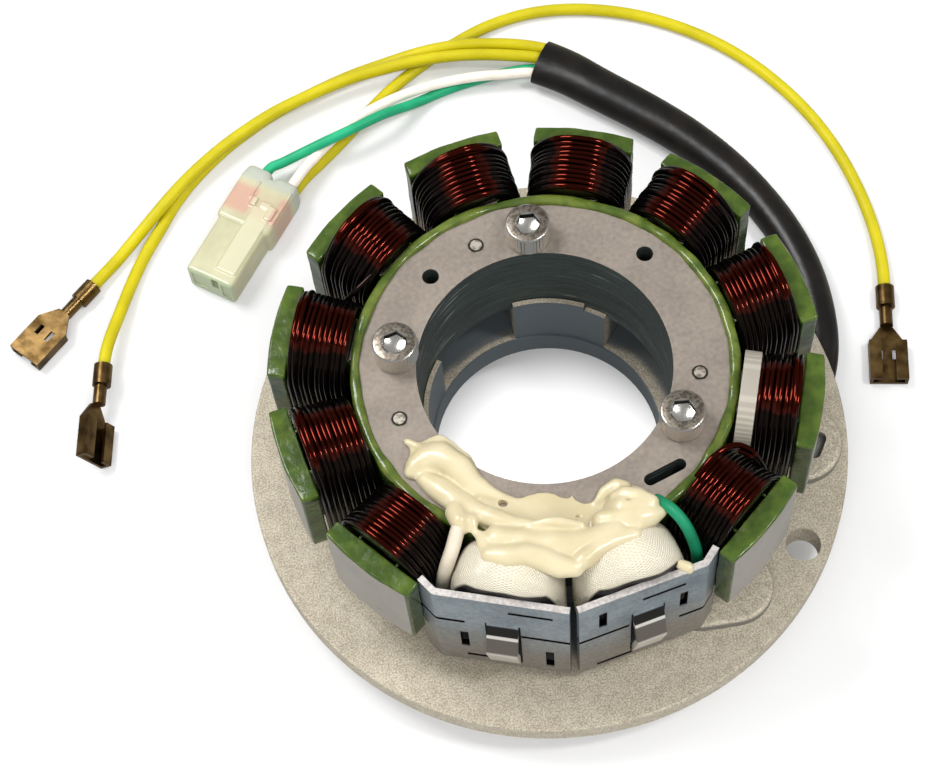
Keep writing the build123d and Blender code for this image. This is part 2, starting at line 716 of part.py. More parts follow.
def blade_terminal(route, roll, windows):
    """Female blade terminal on the end of a yellow lead, turned about the lead by roll."""
    end = Vector(*route[-1])
    along = (end - Vector(*route[-2])).normalized()
    level = Vector(-along.Y, along.X, 0)
    across = level * math.cos(math.radians(roll)) + Vector(0, 0, 1) * math.sin(math.radians(roll))
    seat = Plane(origin=end, x_dir=across, z_dir=along)
    flare_start = crimp_wall + wire_crimp_length
    body_start = flare_start + flare_length
    base = -terminal_seat
    with BuildPart() as terminal:
        with BuildSketch(seat.offset(-crimp_depth)):
            Circle(crimp_diameter / 2)
        extrude(amount=crimp_depth + crimp_wall)
        with BuildSketch(seat.offset(-crimp_depth)):
            Circle((yellow_diameter + crimp_fit) / 2)
        extrude(amount=crimp_depth, mode=Mode.SUBTRACT)
        with BuildSketch(seat.offset(crimp_wall)):
            with Locations((0, base + wire_crimp_diameter / 2)):
                Circle(wire_crimp_diameter / 2)
        extrude(amount=wire_crimp_length)
        with BuildSketch(seat.offset(flare_start)):
            with Locations((0, base)):
                Rectangle(wire_crimp_diameter, terminal_sheet, align=(Align.CENTER, Align.MIN))
        with BuildSketch(seat.offset(body_start)):
            with Locations((0, base)):
                Rectangle(terminal_width, terminal_sheet, align=(Align.CENTER, Align.MIN))
        loft()
        with BuildSketch(seat.offset(body_start)):
            with Locations((0, base)):
                Rectangle(terminal_width, terminal_height, align=(Align.CENTER, Align.MIN))
            with Locations((0, base + terminal_sheet)):
                Rectangle(
                    terminal_width - 2 * terminal_sheet,
                    terminal_height - 2 * terminal_sheet,
                    align=(Align.CENTER, Align.MIN),
                    mode=Mode.SUBTRACT,
                )
                Rectangle(
                    terminal_gap, terminal_height, align=(Align.CENTER, Align.MIN), mode=Mode.SUBTRACT,
                )
        extrude(amount=terminal_length)
        if windows:
            for side in (-1, 1):
                place = Pos(side * terminal_window_pitch / 2, base, body_start + terminal_window[1])
                with Locations(seat.location * place):
                    Box(terminal_window[0], 3 * terminal_sheet, terminal_window[1], mode=Mode.SUBTRACT)
    return terminal.part


terminal_places = [
    (yellow_1_route, 180, True),
    (yellow_2_route, -60, False),
    (yellow_3_route, 0, True),
]
for number, (route, roll, windows) in enumerate(terminal_places, start=1):
    terminal = blade_terminal(route, roll, windows)
    terminal.label = f"blade_terminal_{number}"
    export_step(terminal, f"parts/blade_terminal_{number}.step")
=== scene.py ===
import math
import random

import bpy
from mathutils import Matrix, Vector


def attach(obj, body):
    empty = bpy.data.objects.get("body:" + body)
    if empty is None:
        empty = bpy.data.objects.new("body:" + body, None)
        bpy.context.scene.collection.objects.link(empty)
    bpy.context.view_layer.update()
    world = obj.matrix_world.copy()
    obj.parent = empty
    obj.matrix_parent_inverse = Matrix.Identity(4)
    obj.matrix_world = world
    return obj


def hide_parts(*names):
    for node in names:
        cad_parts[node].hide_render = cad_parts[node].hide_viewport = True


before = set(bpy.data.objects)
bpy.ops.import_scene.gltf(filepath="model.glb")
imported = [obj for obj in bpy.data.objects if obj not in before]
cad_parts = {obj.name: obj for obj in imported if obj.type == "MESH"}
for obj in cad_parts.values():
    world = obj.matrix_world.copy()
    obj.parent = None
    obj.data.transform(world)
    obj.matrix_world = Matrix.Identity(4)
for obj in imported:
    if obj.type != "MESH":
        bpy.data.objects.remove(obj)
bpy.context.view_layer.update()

# Backplate: one aluminium casting. Its sandy skin was skimmed lightly all over, and its bore was turned,
# which left it smooth and bluish. Shade is painted dark under the core, behind the source poles' windows
# and along the foot of the two raised pads.
mm = 0.001
first_tooth = 74.65
tooth_pitch = 30.0
source_teeth = {"right": 6, "left": 7}
bore_edge = (26.72 * mm, 26.8 * mm)
skimmed = 0.5
cast_light = "#F6E5C6"
cast_dark = "#A8946F"
turned_colour = "#6C757A"
pad_foot_shade = "#3B3428"
core_shade = "#0C0B09"
# Painted shade is placed by radius, height or distance along a source tooth: where it starts, is full,
# fades, ends
pad_foot = (14.3 * mm, 14.5 * mm, 16.4 * mm, 16.9 * mm)
under_core = (28.0 * mm, 30.4 * mm, 42.0 * mm, 44.0 * mm)
under_rear = (27.3 * mm, 28.6 * mm, 42.0 * mm, 44.0 * mm)
behind_windows = (38.0 * mm, 40.0 * mm, 53.0 * mm, 55.0 * mm)
shade_floor = (10.0 * mm, 12.0 * mm)
rear_side = (17.0 * mm, 23.0 * mm)
hub_top = (18.3 * mm, 18.8 * mm)
window_reach = (12.0 * mm, 14.0 * mm)


def tooth_angle(number):
    return math.radians(first_tooth - tooth_pitch * (number - 1))


def linear(colour):
    """Turns a written colour, such as #C0B4A4, into the linear numbers that shaders take."""
    numbers = [int(colour[place:place + 2], 16) / 255 for place in (1, 3, 5)]
    return tuple(n / 12.92 if n < 0.04045 else ((n + 0.055) / 1.055) ** 2.4 for n in numbers)


class Value:
    """A socket that numbers flow from. Each operator adds a Math node."""

    def __init__(self, finish, socket):
        self.finish = finish
        self.socket = socket

    def maths(self, operation, *others):
        return self.finish.maths(operation, self, *others)

    def __add__(self, other):
        return self.maths("ADD", other)

    def __sub__(self, other):
        return self.maths("SUBTRACT", other)

    def __rsub__(self, other):
        return self.finish.maths("SUBTRACT", other, self)

    def __mul__(self, other):
        return self.maths("MULTIPLY", other)

    __radd__ = __add__
    __rmul__ = __mul__

    def sine(self):
        return self.maths("SINE")

    def absolute(self):
        return self.maths("ABSOLUTE")

    def between(self, low, high):
        """0 below low, 1 above high and smooth in between."""
        limits = {"Value": self, "From Min": low, "From Max": high}
        return self.finish.node("MapRange", {"interpolation_type": "SMOOTHSTEP"}, limits)

    def band(self, start, full, fade, end):
        """1 from full to fade, and 0 before start and past end."""
        return self.between(start, full) * (1 - self.between(fade, end))


class Finish:
    """A material on one Principled shader, whose even sockets are set as it is made."""

    def __init__(self, name, sockets):
        self.material = bpy.data.materials.new(name)
        self.material.use_nodes = True
        self.tree = self.material.node_tree
        self.shader = self.tree.nodes["Principled BSDF"]
        self.set(sockets)

    def set(self, sockets):
        for label, value in sockets.items():
            self.feed(self.shader.inputs[label], value)

    def feed(self, target, value):
        if isinstance(value, Value):
            self.tree.links.new(value.socket, target)
        elif isinstance(value, str):
            target.default_value = (*linear(value), 1)
        else:
            target.default_value = value

    def node(self, kind, settings, sockets, output=0):
        """Adds a node of any kind: its settings first, then the values or links of its sockets."""
        node = self.tree.nodes.new("ShaderNode" + kind)
        for label, value in settings.items():
            setattr(node, label, value)
        for label, value in sockets.items():
            self.feed(node.inputs[label], value)
        return Value(self, node.outputs[output])

    def maths(self, operation, *terms):
        return self.node("Math", {"operation": operation}, dict(enumerate(terms)))

    def place(self, label="Object"):
        return self.node("TexCoord", {}, {}, output=label)

    def axis(self, number, place=None):
        return self.node("SeparateXYZ", {}, {"Vector": place or self.place()}, output=number)

    def distance(self, x, y):
        """Distance from an upright line through x, y."""
        across = self.axis(0) - x
        along = self.axis(1) - y
        return (across * across + along * along).maths("SQRT")

    def along(self, angle, x=0, y=0):
        """Distances along and across a level line that starts at x, y."""
        east = self.axis(0) - x
        north = self.axis(1) - y
        along = east * math.cos(angle) + north * math.sin(angle)
        return along, north * math.cos(angle) - east * math.sin(angle)

    def noise(self, scale, detail=2.0, place=None):
        sockets = {"Vector": place or self.place(), "Scale": scale, "Detail": detail}
        return self.node("TexNoise", {}, sockets)

    def mix(self, share, first, second):
        """Mixes two colours."""
        sockets = {0: share, 6: first, 7: second}
        return self.node("Mix", {"data_type": "RGBA"}, sockets, output=2)

    def bump(self, height, distance, strength=1.0):
        sockets = {"Height": height, "Distance": distance, "Strength": strength}
        self.set({"Normal": self.node("Bump", {}, sockets)})


def dress(node, finish):
    """Gives a CAD node its material."""
    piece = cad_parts[node]
    piece.data.materials.clear()
    piece.data.materials.append(finish.material)


cast = Finish("cast aluminium", {"Specular IOR Level": 0.25})
grain = cast.noise(2600, 3.0)
blotch = cast.noise(400, 3.0)
radius = cast.distance(0, 0)
height = cast.axis(2)
turned = (1 - radius.between(*bore_edge)).maths("MAXIMUM", skimmed)
cast_skin = cast.mix((grain * 0.8 + blotch * 0.2).between(0.34, 0.66), cast_dark, cast_light)
# Painted shade: darker along the foot of the two raised pads
cast_skin = cast.mix(height.band(*pad_foot) * 0.75, cast_skin, pad_foot_shade)
# Painted shade: near black under the core, under its rear side and behind the source poles' windows
shade_under_core = radius.band(*under_core) * height.between(*shade_floor)
cast_skin = cast.mix(shade_under_core * 0.9, cast_skin, core_shade)
shade_under_rear = radius.band(*under_rear) * cast.axis(1).between(*rear_side) * (1 - height.between(*hub_top))
cast_skin = cast.mix(shade_under_rear * 0.85, cast_skin, core_shade)
for number in source_teeth.values():
    out, across = cast.along(tooth_angle(number))
    shade_behind_window = out.band(*behind_windows) * (1 - across.absolute().between(*window_reach))
    cast_skin = cast.mix(shade_behind_window * 0.9, cast_skin, core_shade)
cast.set({
    "Base Color": cast.mix(turned, cast_skin, turned_colour),
    "Metallic": turned * 0.5,
    "Roughness": 0.6 - turned * 0.2,
})
cast.bump(grain * (1 - turned), 0.06 * mm, 0.5)
dress("backplate", cast)

# Core: ground steel laminations, riveted into one stack. Its faces show a dull ground sheen, its bore the
# edges of the sheets, and its pole heads are bare steel on the outside.
stack_bottom = 31.4 * mm
stack_top = 55.6 * mm
stack_middle = (stack_bottom + stack_top) / 2
lamination = 0.62 * mm
tip_radius = 60.95 * mm
face_edge = (stack_top - 0.25 * mm, stack_top - 0.05 * mm)
head_skin_edge = (tip_radius - 0.6 * mm, tip_radius - 0.3 * mm)
pole_end_start = (54.3 * mm, 54.6 * mm)
pole_end_side = (15.0 * mm, 16.0 * mm)
streak_scale = (70, 70, 1700)

steel = Finish("ground laminations", {"Metallic": 0.5})
height = steel.axis(2)
wall = 1 - height.between(*face_edge)
head_face = steel.distance(0, 0).between(*head_skin_edge)
sheets = (height * (2 * math.pi / lamination)).sine()
stain = steel.noise(90, 4.0)
ground = steel.noise(900, 2.0)
streak_place = steel.node("VectorMath", {"operation": "MULTIPLY"}, {0: steel.place(), 1: streak_scale})
streak = steel.noise(1.0, 3.0, streak_place)
face_colour = steel.mix((stain * 0.5 + ground * 0.5).between(0.2, 0.8), "#7A7067", "#988E83")
bore_colour = steel.mix((sheets * 0.1 + streak).between(0.3, 0.6), "#303937", "#48524F")
bore_colour = steel.mix(streak.between(0.62, 0.7) * stain.between(0.45, 0.6), bore_colour, "#B2B9B4")
wall_colour = steel.mix(head_face, bore_colour, steel.mix(stain, "#918D87", "#A8A49C"))
# Painted shade: the ends of the two source poles are painted black, where the pole plates' windows and slits
# show them
for number in source_teeth.values():
    out, across = steel.along(tooth_angle(number))
    pole_end_shade = out.between(*pole_end_start) * (1 - across.absolute().between(*pole_end_side))
    wall_colour = steel.mix(pole_end_shade, wall_colour, "#020202")
steel.set({
    "Base Color": steel.mix(wall, face_colour, wall_colour),
    "Roughness": 0.42 + ground * 0.2,
})
steel.bump(streak * wall * (1 - head_face) * 0.3 + ground * 0.3, 0.04 * mm, 0.6)
dress("stator_core", steel)

# Insulation: green epoxy, dipped and baked. It runs into a rounded rib along the yoke on both faces,
# and wraps each pole head but for the head's outer face.
coil_teeth = (1, 2, 3, 4, 5, 8, 9, 10, 11, 12)
rib_radius = 42.7 * mm
rib_width = 2.3 * mm
rib_height = 1.0 * mm
head_inner = 56.0 * mm
head_outer = tip_radius - 0.1 * mm
head_half_width = 11.3 * mm
head_skin = 0.5 * mm
tooth_width = 9.7 * mm


def choose(*pieces):
    """Selects these pieces alone, the first of them as the active one."""
    bpy.ops.object.select_all(action="DESELECT")
    for piece in pieces:
        piece.select_set(True)
    bpy.context.view_layer.objects.active = pieces[0]


def apply_place():
    """Moves the place of the selected piece into its mesh."""
    bpy.ops.object.transform_apply(location=True, rotation=True, scale=True)


def modify(piece, kind, **settings):
    """Adds a modifier and applies it."""
    choose(piece)
    modifier = piece.modifiers.new(kind.title(), kind)
    for label, value in settings.items():
        setattr(modifier, label, value)
    bpy.ops.object.modifier_apply(modifier=modifier.name)


def lumps(piece, size, depth, detail=0):
    """Swells and sinks a surface gently, like a coat that ran before it set."""
    cloud = bpy.data.textures.new("lumps", "CLOUDS")
    cloud.noise_scale = size
    cloud.noise_depth = detail % 3
    modify(piece, "DISPLACE", texture=cloud, strength=depth, mid_level=0.5)


def tooth_frame(number):
    """Turns a point of a tooth that lies along +X into its place on the object."""
    return Matrix.Rotation(tooth_angle(number), 4, "Z")


def settle(piece, name, finish, smooth=50):
    """Names a piece, fixes its place in its mesh, rounds its shading and lets it ride on the body."""
    choose(piece)
    apply_place()
    piece.name = name
    piece.data.name = name
    piece.data.materials.clear()
    piece.data.materials.append(finish.material)
    if piece.type == "MESH":
        bpy.ops.object.shade_smooth_by_angle(angle=math.radians(smooth))
    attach(piece, "root")
    return piece


epoxy = Finish("green epoxy", {
    "Roughness": 0.22, "Specular IOR Level": 0.35, "Coat Weight": 0.25, "Coat Roughness": 0.04,
})
runs = epoxy.noise(260, 3.0)
upper_face = epoxy.axis(2).between(stack_top - 0.6 * mm, stack_top + 0.2 * mm)
on_rib = 1 - epoxy.distance(0, 0).between(rib_radius + 0.5 * mm, rib_radius + 1.1 * mm)
# Painted shade: every face but the upper one is a darker green
epoxy_shaded_side = epoxy.mix(runs.between(0.3, 0.7), "#1B2A0C", "#2C4213")
epoxy_top = epoxy.mix(runs.between(0.35, 0.8), "#334714", "#4E6121")
epoxy_rib = epoxy.mix(runs.between(0.3, 0.7), "#3E5019", "#66702F")
epoxy_top = epoxy.mix(on_rib * 0.6, epoxy_top, epoxy_rib)
epoxy.set({"Base Color": epoxy.mix(upper_face, epoxy_shaded_side, epoxy_top)})
epoxy.bump(runs, 0.5 * mm, 0.6)

bpy.ops.mesh.primitive_cylinder_add(
    vertices=240, radius=rib_radius, depth=stack_top - stack_bottom + 2 * rib_height,
    end_fill_type="NOTHING", location=(0, 0, stack_middle),
)
rib = bpy.context.object
modify(rib, "SOLIDIFY", thickness=rib_width, offset=-1)
modify(rib, "BEVEL", width=0.8 * mm, segments=3)
lumps(rib, 6 * mm, 0.7 * mm)
settle(rib, "epoxy_rib", epoxy)
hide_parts("core_insulation")

for number in coil_teeth:
    bpy.ops.mesh.primitive_cube_add(size=1, location=((head_outer + head_inner) / 2, 0, stack_middle))
    head = bpy.context.object
    head.scale = (head_outer - head_inner, 2 * head_half_width, stack_top - stack_bottom + 2 * head_skin)
    apply_place()
    bpy.ops.object.mode_set(mode="EDIT")
    bpy.ops.mesh.select_all(action="SELECT")
    bpy.ops.mesh.subdivide(number_cuts=9)
    bpy.ops.object.mode_set(mode="OBJECT")
    for vertex in head.data.vertices:
        share = (vertex.co.x - head_inner) / (head_outer - head_inner)
        curved = math.sqrt(head_outer ** 2 - vertex.co.y ** 2)
        vertex.co.x = head_inner + share * (curved - head_inner)
    modify(head, "BEVEL", width=0.9 * mm, segments=3, angle_limit=math.radians(50))
    lumps(head, 5 * mm, 0.45 * mm, number)
    head.data.transform(tooth_frame(number))
    settle(head, f"epoxy_head_{number:02d}", epoxy)
    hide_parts("core_insulation")

    bpy.ops.mesh.primitive_cube_add(size=1, location=((rib_radius + head_inner) / 2, 0, stack_middle))
    skin = bpy.context.object
    skin.scale = (head_inner - rib_radius, tooth_width + 2 * head_skin, stack_top - stack_bottom)
    apply_place()
    skin.data.transform(tooth_frame(number))
    settle(skin, f"epoxy_tooth_{number:02d}", epoxy)
    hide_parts("core_insulation")

# Charging coils: one layer over another of thick enamelled copper wire, wound by machine on each
# tooth. The turns lie side by side, and a few cross where the winding was finished off.
coil_inner = 42.9 * mm
coil_outer = 55.6 * mm
coil_turns = 11
coil_half_width = (10.5 * mm, 11.1 * mm)
coil_half_height = (16.0 * mm, 18.1 * mm)
coil_swell = 0.165
coil_flat = 0.6 * mm
wire_radius = 0.63 * mm
turn_points = 48
turn_lean = 0.16
turn_sway = 0.12 * mm
turn_wave = 0.13 * mm
raised_by = 0.8 * mm
raised_slant = 0.5
teeth_with_raised_turns = (1, 2, 3, 4, 9, 10, 11, 12)
# Jumper wires from coil to coil, by the places that each one passes, in millimetres
jumper_routes = (
    [(-28.3, 33.2, 56.8), (-32.5, 28.9, 57.6), (-37.1, 25.0, 57.0), (-41.0, 22.5, 55.5),
     (-43.4, 22.1, 52.0)],
    [(28.4, -32.9, 62.0), (30.5, -31.0, 63.5), (33.1, -29.0, 64.2), (35.9, -27.6, 64.0),
     (38.3, -26.9, 63.0), (40.9, -27.6, 61.0), (42.8, -29.1, 58.0), (44.1, -30.3, 54.0),
     (44.8, -31.1, 49.0)],
    [(38.3, -27.5, 61.0), (40.8, -28.3, 60.0), (42.6, -29.6, 57.0), (43.7, -30.8, 53.0),
     (44.5, -31.1, 48.0)],
)

enamel = Finish("wire enamel", {"Roughness": 0.12, "IOR": 1.42, "Specular Tint": "#D9B4A2"})
# Painted highlight: the enamel is near black, and copper red and metallic only in a band along each coil's
# crest, where the lamps' highlights fall
swell = (enamel.distance(0, 0) - coil_inner) * coil_swell
crest_height = enamel.axis(2) + enamel.noise(300, 2.0) * (2 * mm) - swell
crest = crest_height.between(stack_top + 3.7 * mm, stack_top + 5.0 * mm)
enamel.set({"Base Color": enamel.mix(crest, "#040303", "#4A1B14"), "Metallic": crest})


def coil_size(share):
    """Half width and half height of a coil at a share of its way out along the tooth."""
    return [low + share * (high - low) for low, high in (coil_half_width, coil_half_height)]


def turn_point(half_width, half_height, angle):
    """A point of a turn round the tooth, which is a half circle above and below straight sides."""
    corner = half_width - coil_flat
    side = math.cos(angle)
    rise = math.sin(angle)
    across = math.copysign(coil_flat, side) + corner * side
    up = math.copysign(half_height - corner, rise) + corner * rise
    return across, up


def winding(number):
    """The outer layer of a coil as one curve object, with a spline for each turn."""
    draw = random.Random(number)
    curve = bpy.data.curves.new(f"winding_{number:02d}", "CURVE")
    curve.dimensions = "3D"
    curve.bevel_depth = wire_radius
    curve.bevel_resolution = 2
    pitch = (coil_outer - coil_inner) / coil_turns
    turns = [(step + 0.5, 0.0, 0.0) for step in range(coil_turns)]
    if number in teeth_with_raised_turns:
        last = coil_turns - 0.9 - draw.random()
        turns.append((last, raised_by, draw.uniform(-raised_slant, raised_slant)))
    for position, lift, slant in turns:
        share = position / coil_turns
        half_width, half_height = coil_size(share)
        half_width += 0.2 * lift
        half_height += lift
        spline = curve.splines.new("POLY")
        spline.points.add(turn_points - 1)
        spline.use_cyclic_u = True
        lean = draw.uniform(-turn_lean, turn_lean) + slant
        sway = draw.uniform(-turn_sway, turn_sway)
        phase = draw.uniform(0, 2 * math.pi)
        for step, point in enumerate(spline.points):
            angle = 2 * math.pi * (step + 0.5) / turn_points
            across, up = turn_point(half_width, half_height, angle)
            along = coil_inner + pitch * (position + lean * math.cos(angle))
            along += turn_wave * math.sin(2 * angle + phase)
            place = tooth_frame(number) @ Vector((along, across + sway, stack_middle + up + sway))
            point.co = (*place, 1)
    piece = bpy.data.objects.new(f"winding_{number:02d}", curve)
    bpy.context.collection.objects.link(piece)
    choose(piece)
    bpy.ops.object.convert(target="MESH")
    return bpy.context.object


def under_layer(number):
    """The layers below, as one smooth body that closes the gaps between the turns."""
    bpy.ops.mesh.primitive_cylinder_add(
        vertices=turn_points, radius=1, depth=1, rotation=(0, math.radians(90), 0),
    )
    body = bpy.context.object
    apply_place()
    for vertex in body.data.vertices:
        share = vertex.co.x + 0.5
        angle = math.atan2(vertex.co.z, vertex.co.y) + math.pi / turn_points
        half_width, half_height = coil_size(share)
        across, up = turn_point(half_width - wire_radius, half_height - wire_radius, angle)
        vertex.co = (coil_inner + share * (coil_outer - coil_inner), across, stack_middle + up)
    body.data.transform(tooth_frame(number))
    return body


def join(pieces):
    """Joins pieces into the first of them."""
    choose(*pieces)
    bpy.ops.object.join()
    return bpy.context.object


def spline(name, route):
    """A smooth line that has the route's points, in millimetres, as its control points."""
    curve = bpy.data.curves.new(name, "CURVE")
    curve.dimensions = "3D"
    line = curve.splines.new("NURBS")
    line.points.add(len(route) - 1)
    for point, place in zip(line.points, route):
        point.co = (*(number * mm for number in place), 1)
    line.order_u = 3
    line.use_endpoint_u = True
    curve.resolution_u = 8
    piece = bpy.data.objects.new(name, curve)
    bpy.context.collection.objects.link(piece)
    return piece


def lead(name, route, diameter, finish):
    """A round wire along a route."""
    piece = spline(name, route)
    piece.data.bevel_depth = diameter / 2
    piece.data.bevel_resolution = 4
    piece.data.use_fill_caps = True
    piece.data.materials.append(finish.material)
    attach(piece, "root")
    return piece


for number in coil_teeth:
    coil = join([winding(number), under_layer(number)])
    settle(coil, f"winding_{number:02d}", enamel)
    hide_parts(f"coil_{number:02d}")
for number, route in enumerate(jumper_routes, start=1):
    lead(f"jumper_wire_{number}", route, 2 * wire_radius, enamel)

# Source coils: many turns of fine wire, wrapped in white cotton tape and soaked in varnish. The tape
# makes two plump pillows, which fill their slots and bulge over the core's face.
pillow_points = 96
pillow_squareness = 0.62
weave_rows = 120
weave_threads = 26
dark_end_start = (53.2 * mm, 53.8 * mm)
dark_end_top = (57.6 * mm, 58.4 * mm)
# Each section of a pillow: its place along the tooth, half width and half height, in millimetres
pillow_sections = (
    (42.4, 6.0, 11.0), (42.6, 8.8, 13.6), (43.4, 10.6, 15.6), (45.0, 11.3, 16.9), (47.4, 11.9, 17.5),
    (50.0, 12.3, 17.5), (52.2, 12.3, 17.1), (53.6, 11.7, 16.2), (54.4, 10.2, 14.6), (54.6, 7.4, 12.0),
)

cloth = Finish("cotton tape", {"Roughness": 0.55, "Coat Weight": 0.35, "Coat Roughness": 0.25})
uv = cloth.place("UV")
warp = (cloth.axis(0, uv) * (2 * math.pi * weave_rows)).sine()
weft = (cloth.axis(1, uv) * (2 * math.pi * weave_threads)).sine()
weave = warp * weft
soak = cloth.noise(160, 3.0)
cloth_colour = cloth.mix(weave.between(-1.0, 1.0), "#BDB49D", "#DFD8C8")
cloth_colour = cloth.mix(soak.between(0.35, 0.75), cloth_colour, "#CFC6AF")
# The end of each pillow, next to its pole plate and below the pillow's top, is painted near black
for number in source_teeth.values():
    out, across = cloth.along(tooth_angle(number))
    dark_end = out.between(*dark_end_start) * (1 - cloth.axis(2).between(*dark_end_top))
    cloth_colour = cloth.mix(dark_end, cloth_colour, "#0C0303")
cloth.set({"Base Color": cloth_colour})
cloth.bump(weave + soak, 0.16 * mm, 0.9)


def fold_grid(across, along, place):
    """A flat grid whose points are moved to place(u, v), with u and v from 0 to 1."""
    bpy.ops.mesh.primitive_grid_add(x_subdivisions=across, y_subdivisions=along, size=1)
    piece = bpy.context.object
    for vertex in piece.data.vertices:
        vertex.co = place(vertex.co.x + 0.5, vertex.co.y + 0.5)
    bpy.ops.object.mode_set(mode="EDIT")
    bpy.ops.mesh.select_all(action="SELECT")
    bpy.ops.mesh.remove_doubles(threshold=0.001 * mm)
    bpy.ops.mesh.normals_make_consistent(inside=False)
    bpy.ops.object.mode_set(mode="OBJECT")
    return piece


def pillow_point(u, v):
    """A point of the wrapped coil on a tooth along +X: u runs round it and v along the tooth."""
    step = min(int(v * (len(pillow_sections) - 1)), len(pillow_sections) - 2)
    blend = v * (len(pillow_sections) - 1) - step
    lower, upper = pillow_sections[step], pillow_sections[step + 1]
    along, half_width, half_height = (a + blend * (b - a) for a, b in zip(lower, upper))
    angle = 2 * math.pi * u
    side = math.copysign(abs(math.cos(angle)) ** pillow_squareness, math.cos(angle))
    rise = math.copysign(abs(math.sin(angle)) ** pillow_squareness, math.sin(angle))
    return Vector((along * mm, half_width * side * mm, stack_middle + half_height * rise * mm))


for side_name, number in source_teeth.items():
    pillow = fold_grid(pillow_points, 4 * (len(pillow_sections) - 1), pillow_point)
    modify(pillow, "SMOOTH", factor=0.5, iterations=2)
    lumps(pillow, 7 * mm, 0.9 * mm, number)
    pillow.data.transform(tooth_frame(number))
    settle(pillow, f"wrapped_coil_{side_name}", cloth, smooth=180)
    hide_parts(f"source_coil_{side_name}")

# Pole plates: zinc-plated sheet, stamped and folded, and hooked on the outside of the two source
# poles. The sheared edge on top is bright, and the faces are a dull blue grey.
plate_edge = 56.2 * mm
plate_skin = 56.2 * mm
tab_knee = 31.5 * mm
tab_fold = 38.6 * mm
slit_shade = 0.75 * mm
slit_end = 0.2 * mm
window_side = (11.5 * mm, 12.0 * mm)
window_skin = (plate_skin - 0.4 * mm, plate_skin - 0.15 * mm)
tab_skin = (plate_skin + 0.15 * mm, plate_skin + 0.3 * mm)
sheared_edge = (plate_edge - 0.15 * mm, plate_edge - 0.05 * mm)
# Slits of each plate seen from outside, in millimetres: from, to and height
plate_slits = {
    "right": ((9.4, 20.0, 30.8), (-15.0, -2.6, 37.0), (0.5, 10.1, 50.0), (-9.8, -1.5, 19.1)),
    "left": ((-20.0, -8.8, 41.9), (3.5, 15.0, 37.5), (1.0, 10.4, 51.0), (-9.0, -4.6, 21.2)),
}


def zinc_finish(side_name):
    """Zinc with painted shade in each slit and window, and painted light and shade in bands on the tab."""
    zinc = Finish(f"zinc plate {side_name}", {"Metallic": 0.7})
    out, across = zinc.along(tooth_angle(source_teeth[side_name]))
    height = zinc.axis(2)
    cloud = zinc.noise(110, 4.0)
    scuff = zinc.noise(1100, 2.0)
    colour = zinc.mix((cloud * 0.6 + scuff * 0.4).between(0.3, 0.7), "#6F7C85", "#9AA4AA")
    colour = zinc.mix(height.between(22 * mm, 46 * mm), zinc.mix(scuff, "#6E6A64", "#A09C96"), colour)
    # Painted shade: near black along each slit, and in each window below
    for start, end, level in plate_slits[side_name]:
        near = 1 - (height - level * mm).absolute().between(slit_shade * 0.8, slit_shade)
        length = across.band(start * mm - slit_end, start * mm, end * mm, end * mm + slit_end)
        colour = zinc.mix(near * length, colour, "#040405")
    window_shade = (1 - out.between(*window_skin)) * (1 - across.absolute().between(*window_side))
    colour = zinc.mix(window_shade, colour, "#050505")
    # Painted light and shade on the tab, in bands: lit below the knee, shaded above it, a painted highlight
    # under the fold and dark painted shade above it
    tab_light_and_shade = zinc.mix(height.between(tab_knee + 0.2 * mm, tab_knee + 1.0 * mm), "#CFCAC2", "#6B645E")
    tab_light_and_shade = zinc.mix(height.between(tab_fold - 1.2 * mm, tab_fold - 0.8 * mm), tab_light_and_shade, "#E6E2DA")
    tab_light_and_shade = zinc.mix(height.between(tab_fold, tab_fold + 0.4 * mm), tab_light_and_shade, "#12100E")
    colour = zinc.mix(out.between(*tab_skin), colour, tab_light_and_shade)
    edge_colour = zinc.mix(scuff.between(0.3, 0.7), "#ACA6A2", "#C9C4C0")
    sheared = height.between(*sheared_edge)
    zinc.set({"Base Color": zinc.mix(sheared, colour, edge_colour), "Roughness": 0.36 + cloud * 0.2})
    zinc.bump(scuff * (1 - sheared), 0.04 * mm, 0.4)
    return zinc


for side_name in source_teeth:
    dress(f"pole_plate_{side_name}", zinc_finish(side_name))

# Cap screws: three M6 socket screws, plated bright, each with a knurled head and a hexagon socket. They
# go through the core into the plate's pedestals.
screw_circle = 32.66 * mm
screw_angles = (89.9, 168.1, -31.4)
screw_head_radius = 5.0 * mm
screw_head_height = 6.0 * mm
screw_length = 40.0 * mm
knurl_ridges = 48
knurl_depth = 0.16 * mm
hex_radius = 2.5 * mm / math.cos(math.radians(30))
hex_depth = 2.2 * mm
socket_point = 1.5 * mm
head_bevel = 0.55 * mm
knurl_half_height = 2.6 * mm
shank_radius = 2.9 * mm
head_top = stack_top + screw_head_height
socket_wall = (
    head_top - hex_depth, head_top - hex_depth + 0.1 * mm, head_top - 0.7 * mm, head_top - 0.5 * mm,
)
socket_reach = (3.2 * mm, 3.4 * mm)


def on_circle(radius, angle):
    """A place on a circle round the bore, by its angle in degrees."""
    return radius * math.cos(math.radians(angle)), radius * math.sin(math.radians(angle))


bright = Finish("bright steel", {"Metallic": 1.0})
dull = bright.noise(500, 2.0)
height = bright.axis(2)
crown = height.between(head_top - 0.1 * mm, head_top)
scratched = bright.mix(bright.noise(1500, 2.0).between(0.35, 0.65), "#72695E", "#A39A8D")
screw_colour = bright.mix(crown, "#E2DFD8", scratched)
# Painted shade: dark on the walls of each hex socket
for angle in screw_angles:
    radius = bright.distance(*on_circle(screw_circle, angle))
    socket_shade = height.band(*socket_wall) * (1 - radius.between(*socket_reach))
    screw_colour = bright.mix(socket_shade, screw_colour, "#2B2723")
bright.set({"Base Color": screw_colour, "Roughness": 0.14 + dull * 0.14 + crown * 0.12})


def cut(piece, cutter):
    """Takes one piece out of another."""
    modify(piece, "BOOLEAN", operation="DIFFERENCE", object=cutter, solver="EXACT")
    bpy.data.objects.remove(cutter)


